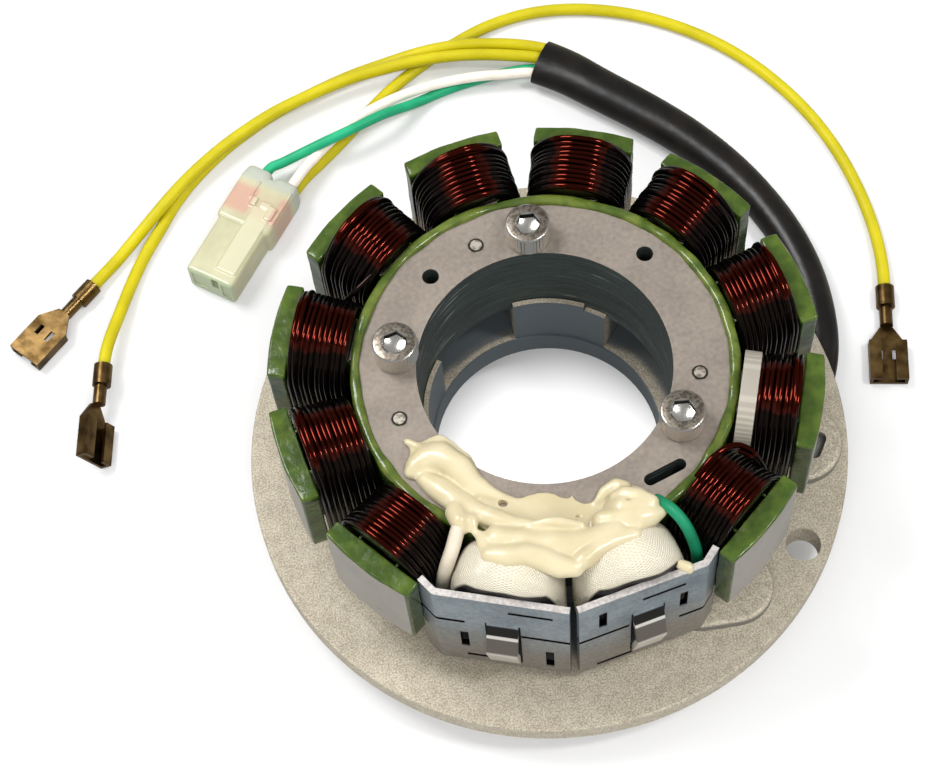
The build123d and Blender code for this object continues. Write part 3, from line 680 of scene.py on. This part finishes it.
def cap_screw(angle):
    """One screw, with a socket sunk by three cutters: the hexagon, its point and the chamfer."""
    middle = stack_top + screw_head_height / 2
    bpy.ops.mesh.primitive_cylinder_add(
        vertices=2 * knurl_ridges, radius=screw_head_radius, depth=screw_head_height,
        location=(0, 0, middle), end_fill_type="NGON",
    )
    head = bpy.context.object
    apply_place()
    modify(head, "BEVEL", width=head_bevel, segments=3, angle_limit=math.radians(60))
    for vertex in head.data.vertices:
        radius = math.hypot(vertex.co.x, vertex.co.y)
        ridge = round(math.degrees(math.atan2(vertex.co.y, vertex.co.x)) * knurl_ridges / 180)
        if radius > screw_head_radius - 0.05 * mm and abs(vertex.co.z - middle) < knurl_half_height:
            vertex.co.xy *= 1 - (ridge % 2) * knurl_depth / radius
    turn = math.radians(angle)
    bpy.ops.mesh.primitive_cylinder_add(
        vertices=6, radius=hex_radius, depth=2 * hex_depth, location=(0, 0, head_top), rotation=(0, 0, turn),
    )
    socket = bpy.context.object
    bpy.ops.mesh.primitive_cone_add(
        vertices=6, radius1=0, radius2=hex_radius, depth=socket_point, rotation=(0, 0, turn),
        location=(0, 0, head_top - hex_depth - socket_point / 2 + 0.01 * mm),
    )
    point = bpy.context.object
    bpy.ops.mesh.primitive_cone_add(
        vertices=48, radius1=hex_radius - 0.5 * mm, radius2=hex_radius + 0.3 * mm, depth=0.8 * mm,
        location=(0, 0, head_top - 0.1 * mm),
    )
    for cutter in (socket, point, bpy.context.object):
        cut(head, cutter)
    bpy.ops.mesh.primitive_cylinder_add(
        vertices=32, radius=shank_radius, depth=screw_length,
        location=(0, 0, stack_top - screw_length / 2 + 0.2 * mm),
    )
    screw = join([head, bpy.context.object])
    apply_place()
    screw.data.transform(Matrix.Translation((*on_circle(screw_circle, angle), 0)))
    return screw


screws = join([cap_screw(angle) for angle in screw_angles])
settle(screws, "socket_screws", bright, smooth=30)
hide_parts("cap_screws")

# Rivets: three steel rivets that hold the laminations together, each with a dark ring round its head
# where the rivet was set.
rivet_circle = 33.83 * mm
rivet_angles = (110.6, 195.4, -9.9)
rivet_ring = (1.2 * mm, 1.4 * mm, 1.65 * mm, 1.8 * mm)

rivet_steel = Finish("rivet steel", {"Metallic": 0.7, "Roughness": 0.4})
rivet_colour = rivet_steel.mix(rivet_steel.noise(900, 2.0).between(0.4, 0.6), "#7F776C", "#B9B1A5")
for angle in rivet_angles:
    radius = rivet_steel.distance(*on_circle(rivet_circle, angle))
    rivet_colour = rivet_steel.mix(radius.band(*rivet_ring), rivet_colour, "#2A2722")
rivet_steel.set({"Base Color": rivet_colour})
dress("core_rivets", rivet_steel)

# Cable tie: a white nylon tie round the inner end of one coil, moulded with fine teeth across its band.
# It is pulled tight and holds the winding.
tie_tooth_pitch = 0.9 * mm

nylon = Finish("tie nylon", {"Roughness": 0.45, "Subsurface Weight": 0.1})
ribs = (nylon.axis(2) * (2 * math.pi / tie_tooth_pitch)).sine()
nylon.set({"Base Color": nylon.mix(ribs.between(-0.6, 0.9), "#968D81", "#A79D90")})
nylon.bump(ribs, 0.05 * mm, 0.4)
dress("cable_tie", nylon)

# Leads: stranded copper in coloured vinyl. Each follows its route on a smooth curve and lies on the
# bench, or on the lead that it crosses. Two stubs come out of the sealant, stained by it.
yellow_diameter = 3.1 * mm
thin_diameter = 2.6 * mm
white_stub_diameter = 3.2 * mm
sleeve_start = Vector((10.4, 112.8))
sleeve_way = Vector((-0.8738, 0.4863))
connector_front = Vector((-78.37, 57.17))
connector_turn = math.radians(56.96)


def sleeve_mouth(side, height, ahead=0.0):
    """A place at the sleeve's open end in millimetres: sideways, up and inwards."""
    place = sleeve_start + Vector((sleeve_way.y, -sleeve_way.x)) * side + sleeve_way * ahead
    return (place.x, place.y, height)


def connector_point(along, side, height):
    """A place on the connector in millimetres: along it, sideways and up."""
    x = connector_front.x + along * math.cos(connector_turn) - side * math.sin(connector_turn)
    y = connector_front.y + along * math.sin(connector_turn) + side * math.cos(connector_turn)
    return (x, y, height)


yellow_1_route = [
    sleeve_mouth(1.0, 4.5), sleeve_mouth(1.0, 4.5, 1.5), (4.0, 115.3, 4.9), (-2.2, 116.4, 5.0),
    (-8.9, 117.1, 5.1), (-15.7, 117.2, 5.1), (-22.5, 116.7, 5.1), (-29.4, 115.7, 5.0),
    (-36.3, 114.5, 4.9), (-43.2, 112.6, 4.8), (-52.4, 109.1, 4.75), (-59.1, 106.2, 4.75),
    (-65.5, 102.5, 4.75), (-73.4, 97.2, 4.75), (-81.3, 90.4, 4.75), (-86.1, 85.4, 4.75),
    (-89.9, 81.3, 4.4), (-94.4, 76.9, 3.1), (-98.2, 73.4, 1.7), (-102.0, 68.8, 1.7),
    (-107.0, 63.2, 2.4), (-110.9, 59.1, 2.4),
]
yellow_2_route = [
    sleeve_mouth(4.1, 4.5), sleeve_mouth(4.1, 4.5, 1.5), (4.4, 118.8, 4.8), (-1.8, 119.7, 4.9),
    (-8.6, 120.4, 4.9), (-15.4, 120.2, 4.8), (-22.3, 119.9, 3.6), (-29.3, 119.2, 1.9),
    (-36.3, 117.6, 1.55), (-43.3, 115.2, 1.55), (-52.6, 111.2, 1.55), (-59.4, 107.8, 1.55),
    (-65.8, 103.8, 1.55), (-73.8, 98.0, 1.55), (-81.1, 90.8, 1.55), (-85.0, 86.0, 1.55),
    (-87.7, 82.0, 1.55), (-90.6, 76.8, 1.55), (-94.6, 70.2, 1.55), (-98.3, 62.5, 1.7),
    (-101.9, 51.6, 3.6), (-104.4, 43.9, 5.2), (-105.6, 38.0, 5.4), (-106.1, 33.6, 5.4),
]
yellow_3_route = [
    connector_point(31.0, -5.0, 3.1), connector_point(36.8, -5.0, 3.1), (-48.3, 91.2, 1.9),
    (-41.8, 97.7, 1.55), (-34.7, 105.5, 1.55), (-27.0, 112.7, 1.55), (-17.8, 119.2, 1.55),
    (-9.3, 124.2, 1.55), (-0.5, 128.2, 1.55), (10.4, 130.6, 1.55), (23.4, 130.1, 1.55),
    (38.6, 126.0, 1.55), (53.2, 118.0, 1.55), (64.4, 108.4, 1.55), (73.1, 97.5, 1.55),
    (79.0, 87.5, 1.55), (83.3, 77.2, 1.55), (86.3, 66.4, 1.55), (88.1, 55.6, 1.6),
    (88.4, 45.6, 2.2), (87.8, 38.4, 2.4), (87.1, 33.0, 2.4),
]
white_route = [
    sleeve_mouth(-3.9, 4.6), sleeve_mouth(-3.9, 4.6, 1.0), (1.6, 110.0, 4.5), (-5.1, 110.4, 4.5),
    (-11.9, 110.1, 4.4), (-18.8, 109.1, 4.4), (-25.7, 107.2, 4.6), (-32.6, 104.5, 4.7),
    (-38.2, 101.4, 4.7), (-43.6, 97.2, 4.8), (-48.2, 92.4, 5.3),
    connector_point(36.8, -5.0, 6.6), connector_point(31.0, -5.0, 6.6),
]
green_route = [
    sleeve_mouth(-1.2, 2.4), sleeve_mouth(-1.2, 2.4, 1.5), (1.9, 112.6, 1.5), (-5.1, 111.6, 1.4),
    (-12.0, 110.0, 1.4), (-18.0, 108.0, 1.5), (-22.0, 105.8, 2.4), (-26.0, 103.3, 4.6),
    (-29.5, 101.2, 6.5), (-32.7, 99.3, 7.8), (-39.6, 96.2, 8.0), (-44.1, 94.4, 8.0),
    (-48.5, 93.0, 7.4), (-54.4, 91.4, 5.9), (-58.8, 90.2, 4.8),
    connector_point(36.4, 3.8, 4.5), connector_point(31.0, 3.8, 4.5),
]


def vinyl(name, light, dark):
    """Vinyl insulation with a faint grain and an uneven colour."""
    finish = Finish(name, {"Roughness": 0.45, "IOR": 1.35})
    tone = finish.noise(120, 3.0)
    finish.set({"Base Color": finish.mix(tone.between(0.3, 0.7), dark, light)})
    finish.bump(finish.noise(400, 2.0), 0.06 * mm, 0.4)
    return finish


yellow_vinyl = vinyl("yellow vinyl", "#C0B30A", "#B2A606")
white_vinyl = vinyl("white vinyl", "#F0E8DB", "#E2D8CA")
green_vinyl = vinyl("green vinyl", "#22A878", "#189264")
stained_white = vinyl("stained white vinyl", "#CDC3B2", "#BBB09D")
stained_green = vinyl("stained green vinyl", "#147C57", "#0F6645")

yellow_leads = {}
for number, route in enumerate((yellow_1_route, yellow_2_route, yellow_3_route), start=1):
    piece = lead(f"yellow_wire_{number}", route, yellow_diameter, yellow_vinyl)
    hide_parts(f"yellow_lead_{number}")
    yellow_leads[number] = piece
white_wire = lead("white_wire", white_route, thin_diameter, white_vinyl)
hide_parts("white_lead")
green_wire = lead("green_wire", green_route, thin_diameter, green_vinyl)
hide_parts("green_lead")


def tooth_route(number, places):
    """Places beside a tooth, each as distance along it, side and height."""
    return [tooth_frame(number) @ Vector(place) for place in places]


white_stub = lead("white_wire_stub", tooth_route(source_teeth["left"], [
    (38.9, -11.0, 57.4), (40.4, -11.6, 58.2), (42.8, -11.9, 58.6), (45.8, -12.2, 57.6),
    (48.4, -13.1, 54.8), (50.0, -13.9, 50.8), (50.8, -14.3, 46.2), (51.0, -14.4, 41.6),
]), white_stub_diameter, stained_white)
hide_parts("white_lead_stub")
green_stub = lead("green_wire_stub", tooth_route(source_teeth["right"], [
    (38.8, 10.4, 57.0), (41.4, 11.5, 59.2), (44.2, 12.5, 60.2), (46.9, 13.5, 59.2),
    (49.2, 14.2, 56.4), (50.8, 14.7, 52.4), (51.6, 14.9, 48.0), (51.8, 15.0, 43.4),
]), thin_diameter, stained_green)
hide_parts("green_lead_stub")

# Sleeve: black vinyl tubing over the five leads. It is slipped on loose, so it lies flat and wide at
# its open end and close round the leads further back, under the backplate.
sleeve_route = [
    (10.4, 112.8, 4.5), (16.5, 109.4, 4.5), (24.0, 103.0, 4.5), (35.9, 93.6, 4.5), (46.6, 83.8, 4.5),
    (56.8, 71.4, 4.5), (64.2, 58.1, 4.5), (68.6, 45.0, 4.5), (70.1, 32.0, 4.5), (69.2, 20.0, 4.5),
    (65.0, 9.3, 4.5), (57.4, 1.0, 4.5), (47.6, -4.4, 4.5),
]
# Half width and half height by the share of the sleeve's length, in millimetres
sleeve_widths = ((0.0, 6.4), (0.12, 5.8), (0.3, 5.3), (0.45, 4.6), (0.7, 4.3), (1.0, 4.3))
sleeve_heights = ((0.0, 3.9), (0.12, 4.2), (0.3, 4.3), (1.0, 4.3))
sleeve_wall = 0.7 * mm
# The mouth's inner wall: its share of the grid's rows and its depth as a share of the length
mouth_rows = 0.06
mouth_depth = 0.05

tubing = Finish("black tubing", {"Roughness": 0.34, "IOR": 1.4})
dust = tubing.noise(150, 4.0)
tubing.set({"Base Color": tubing.mix(dust.between(0.35, 0.75), "#0C0A09", "#191410")})
tubing.bump(tubing.noise(260, 3.0), 0.25 * mm, 0.5)


def spline_points(route):
    """Points along the smooth line of a route, in metres."""
    guide = spline("guide", route)
    mesh = bpy.data.meshes.new_from_object(guide)
    points = [vertex.co.copy() for vertex in mesh.vertices]
    bpy.data.objects.remove(guide)
    return points


def read_table(table, share):
    """Reads a value from a short table of (share, value) pairs."""
    for (low, first), (high, second) in zip(table, table[1:]):
        if share <= high:
            return first + (second - first) * (share - low) / (high - low)
    return table[-1][1]


sleeve_points = spline_points(sleeve_route)


def sleeve_point(u, v):
    """u runs round the tube. v runs from deep inside the mouth, out to its lip and down the outside."""
    steps = len(sleeve_points) - 1
    if v < mouth_rows:
        share = (1 - v / mouth_rows) * mouth_depth
        wall = sleeve_wall
    else:
        share = (v - mouth_rows) / (1 - mouth_rows)
        wall = 0.0
    step = min(int(share * steps), steps - 1)
    start, end = sleeve_points[step], sleeve_points[step + 1]
    centre = start.lerp(end, share * steps - step)
    before = sleeve_points[max(step - 1, 0)]
    after = sleeve_points[min(step + 2, steps)]
    way = (after - before).normalized()
    side = way.cross(Vector((0, 0, 1))).normalized()
    angle = 2 * math.pi * u
    half_width = read_table(sleeve_widths, share) * mm - wall
    half_height = read_table(sleeve_heights, share) * mm - wall
    return centre + side * half_width * math.cos(angle) + Vector((0, 0, half_height * math.sin(angle)))


sleeve = fold_grid(48, 160, sleeve_point)
settle(sleeve, "lead_sleeve", tubing, smooth=70)
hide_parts("harness_sleeve")

# Connector: a two-way housing of natural nylon, clear enough to show the brass contacts inside as a
# pink tint. It has a narrow mating end and a wide rear with a lobe round each lead.
panel_height = (8.8 * mm, 9.0 * mm)
mating_end = (0.2 * mm, 1.6 * mm)
rear_end = (28.0 * mm, 31.0 * mm)
contact_span = (18.5 * mm, 21.0 * mm, 26.5 * mm, 29.0 * mm)
between_contacts = (2.6 * mm, 3.6 * mm)

nylon_clear = Finish("clear nylon", {
    "Roughness": 0.35, "Subsurface Weight": 0.2, "Subsurface Radius": (0.003, 0.003, 0.002),
    "Coat Weight": 0.3, "Coat Roughness": 0.08,
})
along, aside = nylon_clear.along(connector_turn, connector_front.x * mm, connector_front.y * mm)
mist = nylon_clear.noise(140, 3.0)
nylon_colour = nylon_clear.mix(mist.between(0.3, 0.7), "#ADAA89", "#B9B696")
nylon_colour = nylon_clear.mix(nylon_clear.axis(2).between(*panel_height), nylon_colour, "#BFBB9D")
nylon_colour = nylon_clear.mix(along.between(*mating_end), "#9CA688", nylon_colour)
nylon_colour = nylon_clear.mix(along.between(*rear_end), nylon_colour, "#A8ACA0")
middle = 1 - (aside + 2.4 * mm).absolute().between(*between_contacts)
tint = along.band(*contact_span) * (1 - middle * 0.75) * mist.between(0.1, 0.5)
nylon_clear.set({"Base Color": nylon_clear.mix(tint * 0.75, nylon_colour, "#BB8C7C")})


def block(start, end, right_side, left_side, top, edge, low=0.0):
    """A box of the connector in millimetres: along it, across it and up."""
    centre = ((start + end) / 2 * mm, (right_side + left_side) / 2 * mm, (low + top) / 2 * mm)
    bpy.ops.mesh.primitive_cube_add(size=1, location=centre)
    piece = bpy.context.object
    piece.scale = ((end - start) * mm, (left_side - right_side) * mm, (top - low) * mm)
    apply_place()
    modify(piece, "BEVEL", width=edge * mm, segments=3)
    return piece


housing = join([
    block(0.0, 17.4, -6.6, 6.6, 8.75, 1.0), block(16.8, 32.0, -7.6, 7.6, 8.8, 1.1),
    block(28.0, 33.8, 0.2, 7.5, 8.8, 1.6), block(28.0, 33.2, -7.5, -0.6, 8.8, 1.6),
    block(3.3, 23.0, -5.6, -0.4, 9.1, 0.15, 8.0), block(22.8, 25.2, -0.3, 1.3, 9.5, 0.15, 8.0),
    block(20.5, 24.4, -6.2, -4.2, 9.5, 0.15, 8.0), block(23.2, 25.0, -4.4, -1.4, 9.3, 0.3, 8.0),
    block(25.0, 29.6, 1.6, 2.1, 9.3, 0.1, 8.0), block(20.0, 30.0, -7.2, -6.7, 9.1, 0.1, 8.0),
])
modify(housing, "REMESH", mode="VOXEL", voxel_size=0.22 * mm)
openings = join([
    block(-1.0, 2.4, -2.6, -0.7, 8.3, 0.1, 4.8), block(-1.0, 0.5, 1.2, 5.0, 7.6, 0.3, 2.0),
    block(-1.0, 0.5, -5.6, -3.4, 7.6, 0.3, 2.0),
])
cut(housing, openings)
modify(housing, "SMOOTH", factor=0.4, iterations=1)
housing.data.transform(
    Matrix.Translation((connector_front.x * mm, connector_front.y * mm, 0))
    @ Matrix.Rotation(connector_turn, 4, "Z")
)
settle(housing, "nylon_housing", nylon_clear, smooth=40)
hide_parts("connector_housing")
brass = Finish("contact brass", {"Metallic": 1.0, "Roughness": 0.3, "Base Color": "#D39A80"})
dress("contact_1", brass)
dress("contact_2", brass)

# Blade terminals: brass sheet, stamped and curled into a flat socket, then crimped on the bare end and
# the vinyl of the three yellow leads. The brass has tarnished brown.
terminal_brass = Finish("terminal brass", {"Metallic": 1.0})
tarnish = terminal_brass.noise(240, 3.0)
terminal_brass.set({
    "Base Color": terminal_brass.mix(tarnish.between(0.3, 0.7), "#4E3B20", "#856B43"),
    "Roughness": 0.2 + tarnish * 0.25,
})
terminal_brass.bump(terminal_brass.noise(500, 2.0), 0.1 * mm, 0.4)
for number in yellow_leads:
    dress(f"blade_terminal_{number}", terminal_brass)

# The start of the third yellow lead in metres, which is worked out but not kept.
tuple(number * mm for number in yellow_3_route[0])

# Sealant: cream silicone, laid by hand over the joints on the yoke. It slumped before it set, so it
# has lobes, sags and a few thin scrapes.
bead_floor = 55.3
sheet_top = 56.5
bead_outline = [
    (-31.7, -14.2), (-30.1, -15.8), (-26.4, -14.6), (-24.1, -14.1), (-21.1, -16.2), (-18.2, -19.4),
    (-16.0, -26.0), (-13.0, -28.6), (-10.8, -30.4), (-8.6, -30.7), (-6.3, -30.2), (-4.1, -29.8),
    (-1.5, -30.1), (0.0, -31.4), (1.7, -32.0), (2.4, -31.0), (3.0, -32.4), (4.6, -33.4),
    (6.8, -33.4), (8.4, -32.0), (11.1, -30.4), (13.9, -29.9), (17.0, -31.4), (19.8, -33.8),
    (20.8, -36.3), (20.8, -37.8), (19.4, -39.7), (17.7, -41.2), (15.3, -43.2), (12.1, -43.8),
    (-15.7, -43.2), (-16.2, -40.0), (-16.6, -37.6), (-18.1, -36.1), (-21.2, -34.8), (-22.6, -32.3),
    (-23.1, -30.0), (-24.4, -28.0), (-27.4, -26.0), (-29.3, -23.6), (-31.3, -21.8), (-31.6, -19.6),
    (-30.9, -16.9),
]
# Strokes of the bead: places along it, each x, y, the height of its crest and its half width
bead_strokes = [
    [(-31.2, -22.3, 57.6, 1.6), (-29.7, -20.6, 58.4, 2.4), (-27.3, -19.1, 59.2, 3.1),
     (-24.3, -19.3, 59.4, 3.3), (-21.1, -22.4, 59.2, 3.0), (-18.5, -26.4, 58.8, 2.6),
     (-15.3, -28.8, 58.2, 2.0), (-12.0, -30.6, 57.5, 1.5), (-9.3, -31.6, 56.9, 0.9)],
    [(-31.5, -14.8, 57.0, 0.7), (-30.7, -15.3, 57.2, 0.8), (-29.2, -16.4, 57.6, 0.9),
     (-27.7, -17.7, 58.4, 1.6)],
    [(-28.3, -24.4, 58.2, 2.2), (-25.4, -26.9, 59.0, 2.8), (-22.3, -30.2, 59.4, 2.8),
     (-18.2, -33.0, 59.4, 2.4), (-14.2, -35.4, 59.6, 2.2), (-10.5, -37.4, 60.0, 2.0),
     (-6.7, -38.6, 60.4, 1.8)],
    [(-22.4, -33.0, 60.2, 2.5), (-21.8, -35.6, 60.9, 2.3), (-21.6, -37.2, 60.2, 1.7)],
    [(-19.4, -35.6, 60.2, 1.6), (-19.2, -37.4, 59.8, 0.9), (-19.4, -38.8, 59.2, 0.5)],
    [(-18.2, -39.1, 59.6, 1.1), (-17.7, -41.1, 60.2, 1.3), (-17.1, -43.7, 60.8, 1.8)],
    [(-16.3, -44.5, 61.6, 2.4), (-13.0, -45.3, 62.4, 2.6), (-9.1, -45.1, 62.6, 2.8),
     (-5.5, -46.6, 62.6, 2.8), (-1.9, -48.8, 62.4, 2.6), (0.9, -49.7, 62.0, 2.0)],
    [(-14.6, -40.3, 60.6, 2.8), (-10.0, -41.4, 61.2, 3.0), (-5.1, -42.9, 61.6, 3.0),
     (0.3, -44.1, 61.8, 3.0), (5.5, -43.4, 61.8, 3.0), (10.4, -42.1, 61.4, 2.8)],
    [(2.9, -47.8, 62.2, 2.2), (5.7, -45.8, 62.0, 2.4), (10.2, -44.0, 61.6, 2.2),
     (14.1, -43.1, 61.0, 2.0)],
    [(-6.7, -38.6, 60.9, 0.9), (-3.7, -38.4, 61.5, 1.0), (-0.3, -39.0, 61.5, 1.0),
     (3.4, -40.0, 61.2, 0.9)],
    [(8.2, -38.8, 60.6, 2.4), (12.1, -39.1, 61.2, 2.9), (15.5, -39.3, 61.4, 3.0),
     (18.5, -39.0, 60.8, 2.2), (20.5, -38.7, 60.0, 1.3)],
    [(7.4, -33.4, 57.2, 1.0), (9.1, -31.7, 57.9, 1.5), (11.9, -30.7, 58.6, 1.7),
     (13.5, -31.6, 59.0, 1.6)],
    [(11.0, -34.0, 59.8, 1.3), (13.2, -33.5, 60.8, 1.4), (16.1, -34.5, 61.3, 1.5),
     (18.6, -36.5, 61.0, 1.6)],
    [(10.5, -36.4, 59.8, 2.0), (14.0, -36.8, 60.0, 2.4), (18.0, -38.0, 60.4, 2.0)],
    [(-7.0, -39.9, 59.9, 1.6), (-3.0, -40.2, 60.1, 1.6), (2.0, -41.0, 60.3, 1.6)],
    [(12.5, -36.5, 61.0, 3.0), (16.5, -37.2, 61.2, 2.8)],
    [(22.6, -49.6, 57.4, 1.0), (24.6, -50.6, 57.0, 1.2)],
]
drop_shares = (0, 0.2, 0.4, 0.6, 0.8, 1)
hole_half_height = 1.4
hole_turn = -0.3
# Holes and torn places in the bead: x, y, z, then the half length and half width
bead_holes = [(-12.4, -31.8, 56.4, 0.9, 0.5), (2.9, -36.6, 57.0, 0.9, 0.5), (13.8, -35.6, 61.4, 0.7, 0.6)]

silicone = Finish("cream silicone", {
    "Roughness": 0.3, "Subsurface Weight": 0.15, "Subsurface Radius": (0.003, 0.002, 0.001),
    "Coat Weight": 0.15, "Coat Roughness": 0.1,
})
skin = silicone.noise(130, 2.0)
silicone.set({"Base Color": silicone.mix(skin.between(0.3, 0.7), "#B8AC8A", "#C3B898")})
silicone.bump(silicone.noise(320, 2.0), 0.2 * mm, 0.3)


def ball(x, y, z, wide, deep, tall, turn=0.0):
    """A drop of sealant, or the cutter of a hole, in millimetres."""
    bpy.ops.mesh.primitive_ico_sphere_add(
        subdivisions=3, radius=mm, location=(x * mm, y * mm, z * mm), rotation=(0, 0, turn),
    )
    piece = bpy.context.object
    piece.scale = (wide, deep, tall)
    apply_place()
    return piece


bpy.ops.mesh.primitive_circle_add(vertices=len(bead_outline), radius=1, fill_type="NGON")
bead = bpy.context.object
for vertex, (x, y) in zip(bead.data.vertices, bead_outline):
    vertex.co = (x * mm, y * mm, bead_floor * mm)
bpy.ops.object.mode_set(mode="EDIT")
bpy.ops.mesh.select_all(action="SELECT")
bpy.ops.mesh.extrude_region_move(
    TRANSFORM_OT_translate={"value": (0, 0, (sheet_top - bead_floor) * mm)}
)
bpy.ops.mesh.select_all(action="SELECT")
bpy.ops.mesh.normals_make_consistent(inside=False)
bpy.ops.object.mode_set(mode="OBJECT")
drops = []
for stroke in bead_strokes:
    for first, second in zip(stroke, stroke[1:]):
        for share in drop_shares:
            x, y, crest_height, radius = (a + share * (b - a) for a, b in zip(first, second))
            tall = min(radius, 0.7 * radius + 0.6)
            drops.append(ball(x, y, crest_height - tall, radius, radius, tall))
bead = join([bead, *drops])
modify(bead, "REMESH", mode="VOXEL", voxel_size=0.4 * mm)
holes = join([
    ball(x, y, z, wide, deep, hole_half_height, hole_turn) for x, y, z, wide, deep in bead_holes
])
cut(bead, holes)
modify(bead, "SMOOTH", factor=0.5, iterations=7)
lumps(bead, 6 * mm, 0.8 * mm)
modify(bead, "SMOOTH", factor=0.5, iterations=2)
settle(bead, "sealant_bead", silicone, smooth=180)
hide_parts("silicone_bead")

# Bench: a plain white sheet under the object, which keeps its shadow. It glows faintly, and brighter
# through the bore, as in the photograph.
bench_size = 4.0
bench_white = (0.6, 0.6, 0.6, 1)
bench_in_metal = (0.25, 0.25, 0.25, 1)
bench_glow = 0.16
bore_glow = 0.75
bore_glow_centre = (2 * mm, -4 * mm)
bore_glow_edge = (20 * mm, 38 * mm)

bpy.ops.mesh.primitive_plane_add(size=bench_size)
bench = bpy.context.object
bench.name = "bench"
white = Finish("white bench", {"Roughness": 0.9, "Specular IOR Level": 0.0})
shiny_ray = white.node("LightPath", {}, {}, output="Is Glossy Ray")
camera_ray = white.node("LightPath", {}, {}, output="Is Camera Ray")
under_bore = 1 - white.distance(*bore_glow_centre).between(*bore_glow_edge)
faint = (*[bench_glow / (bench_glow + bore_glow)] * 3, 1)
white.set({
    "Base Color": white.mix(shiny_ray, bench_white, bench_in_metal),
    "Emission Color": white.mix(camera_ray * under_bore, faint, (1, 1, 1, 1)),
    "Emission Strength": bench_glow + bore_glow,
})
bench.data.materials.append(white.material)

# Light: one broad lamp from above on the left, a smaller one from the right and a weak one from the
# front that leaves no glare, in a pale grey room that is darker in bright metal.
room_light = 0.74
wall_shine = 0.29
ceiling_shine = 0.32
# Each lamp: name, place, size, power and whether it shows in shiny surfaces
lamps = (
    ("key lamp", (-0.5, 0.34, 0.98), 0.4, 8.0, True),
    ("fill lamp", (0.5, -0.14, 1.0), 0.15, 4.2, True),
    ("front lamp", (-0.1, -0.9, 0.9), 0.8, 9.0, False),
)


class Room(Finish):
    """The world, which is wired in the same way as a material."""

    def __init__(self, name):
        world = bpy.data.worlds.new(name)
        bpy.context.scene.world = world
        world.use_nodes = True
        self.tree = world.node_tree
        self.shader = self.tree.nodes["Background"]


room = Room("pale room")
clear_ray = room.node("LightPath", {}, {}, output="Is Transmission Ray")
shine_ray = room.node("LightPath", {}, {}, output="Is Glossy Ray")
overhead = room.axis(2, room.place("Generated")).between(0.2, 0.95)
shine = overhead * (ceiling_shine - wall_shine) + (wall_shine - room_light)
room.set({
    "Color": (1, 1, 1, 1),
    "Strength": shine_ray * shine + clear_ray * (1 - room_light) + room_light,
})

lamp_target = Vector((0, 0, 30 * mm))
for name, place, size, power, glare in lamps:
    light = bpy.data.lights.new(name, "AREA")
    light.size = size
    light.energy = power
    lamp = bpy.data.objects.new(name, light)
    lamp.visible_glossy = glare
    lamp.location = place
    lamp.rotation_euler = (lamp_target - Vector(place)).to_track_quat("-Z", "Y").to_euler()
    bpy.context.collection.objects.link(lamp)

# Camera: above the front of the stator and tilted a little. Its place and its lens were fitted to the
# rims, bores, pole heads and screws in the photograph.
camera_place = Vector((-16.34, -217.01, 498.50)) * mm
camera_back = Vector((0, -0.43287, 0.90146))
camera_roll = math.radians(-6.28)
focal_pixels = 2258.59
image_width = 944
sensor = 36.0

level = Vector((1, 0, 0))
upright = camera_back.cross(level)
right = level * math.cos(camera_roll) + upright * math.sin(camera_roll)
up = upright * math.cos(camera_roll) - level * math.sin(camera_roll)
lens = bpy.data.cameras.new("camera")
lens.sensor_width = sensor
lens.lens = focal_pixels / image_width * sensor
lens.clip_start = 0.01
camera = bpy.data.objects.new("camera", lens)
turn = Matrix((right, up, camera_back)).transposed()
camera.matrix_world = Matrix.Translation(camera_place) @ turn.to_4x4()
bpy.context.collection.objects.link(camera)
bpy.context.scene.camera = camera
bpy.context.scene.view_settings.view_transform = "Standard"
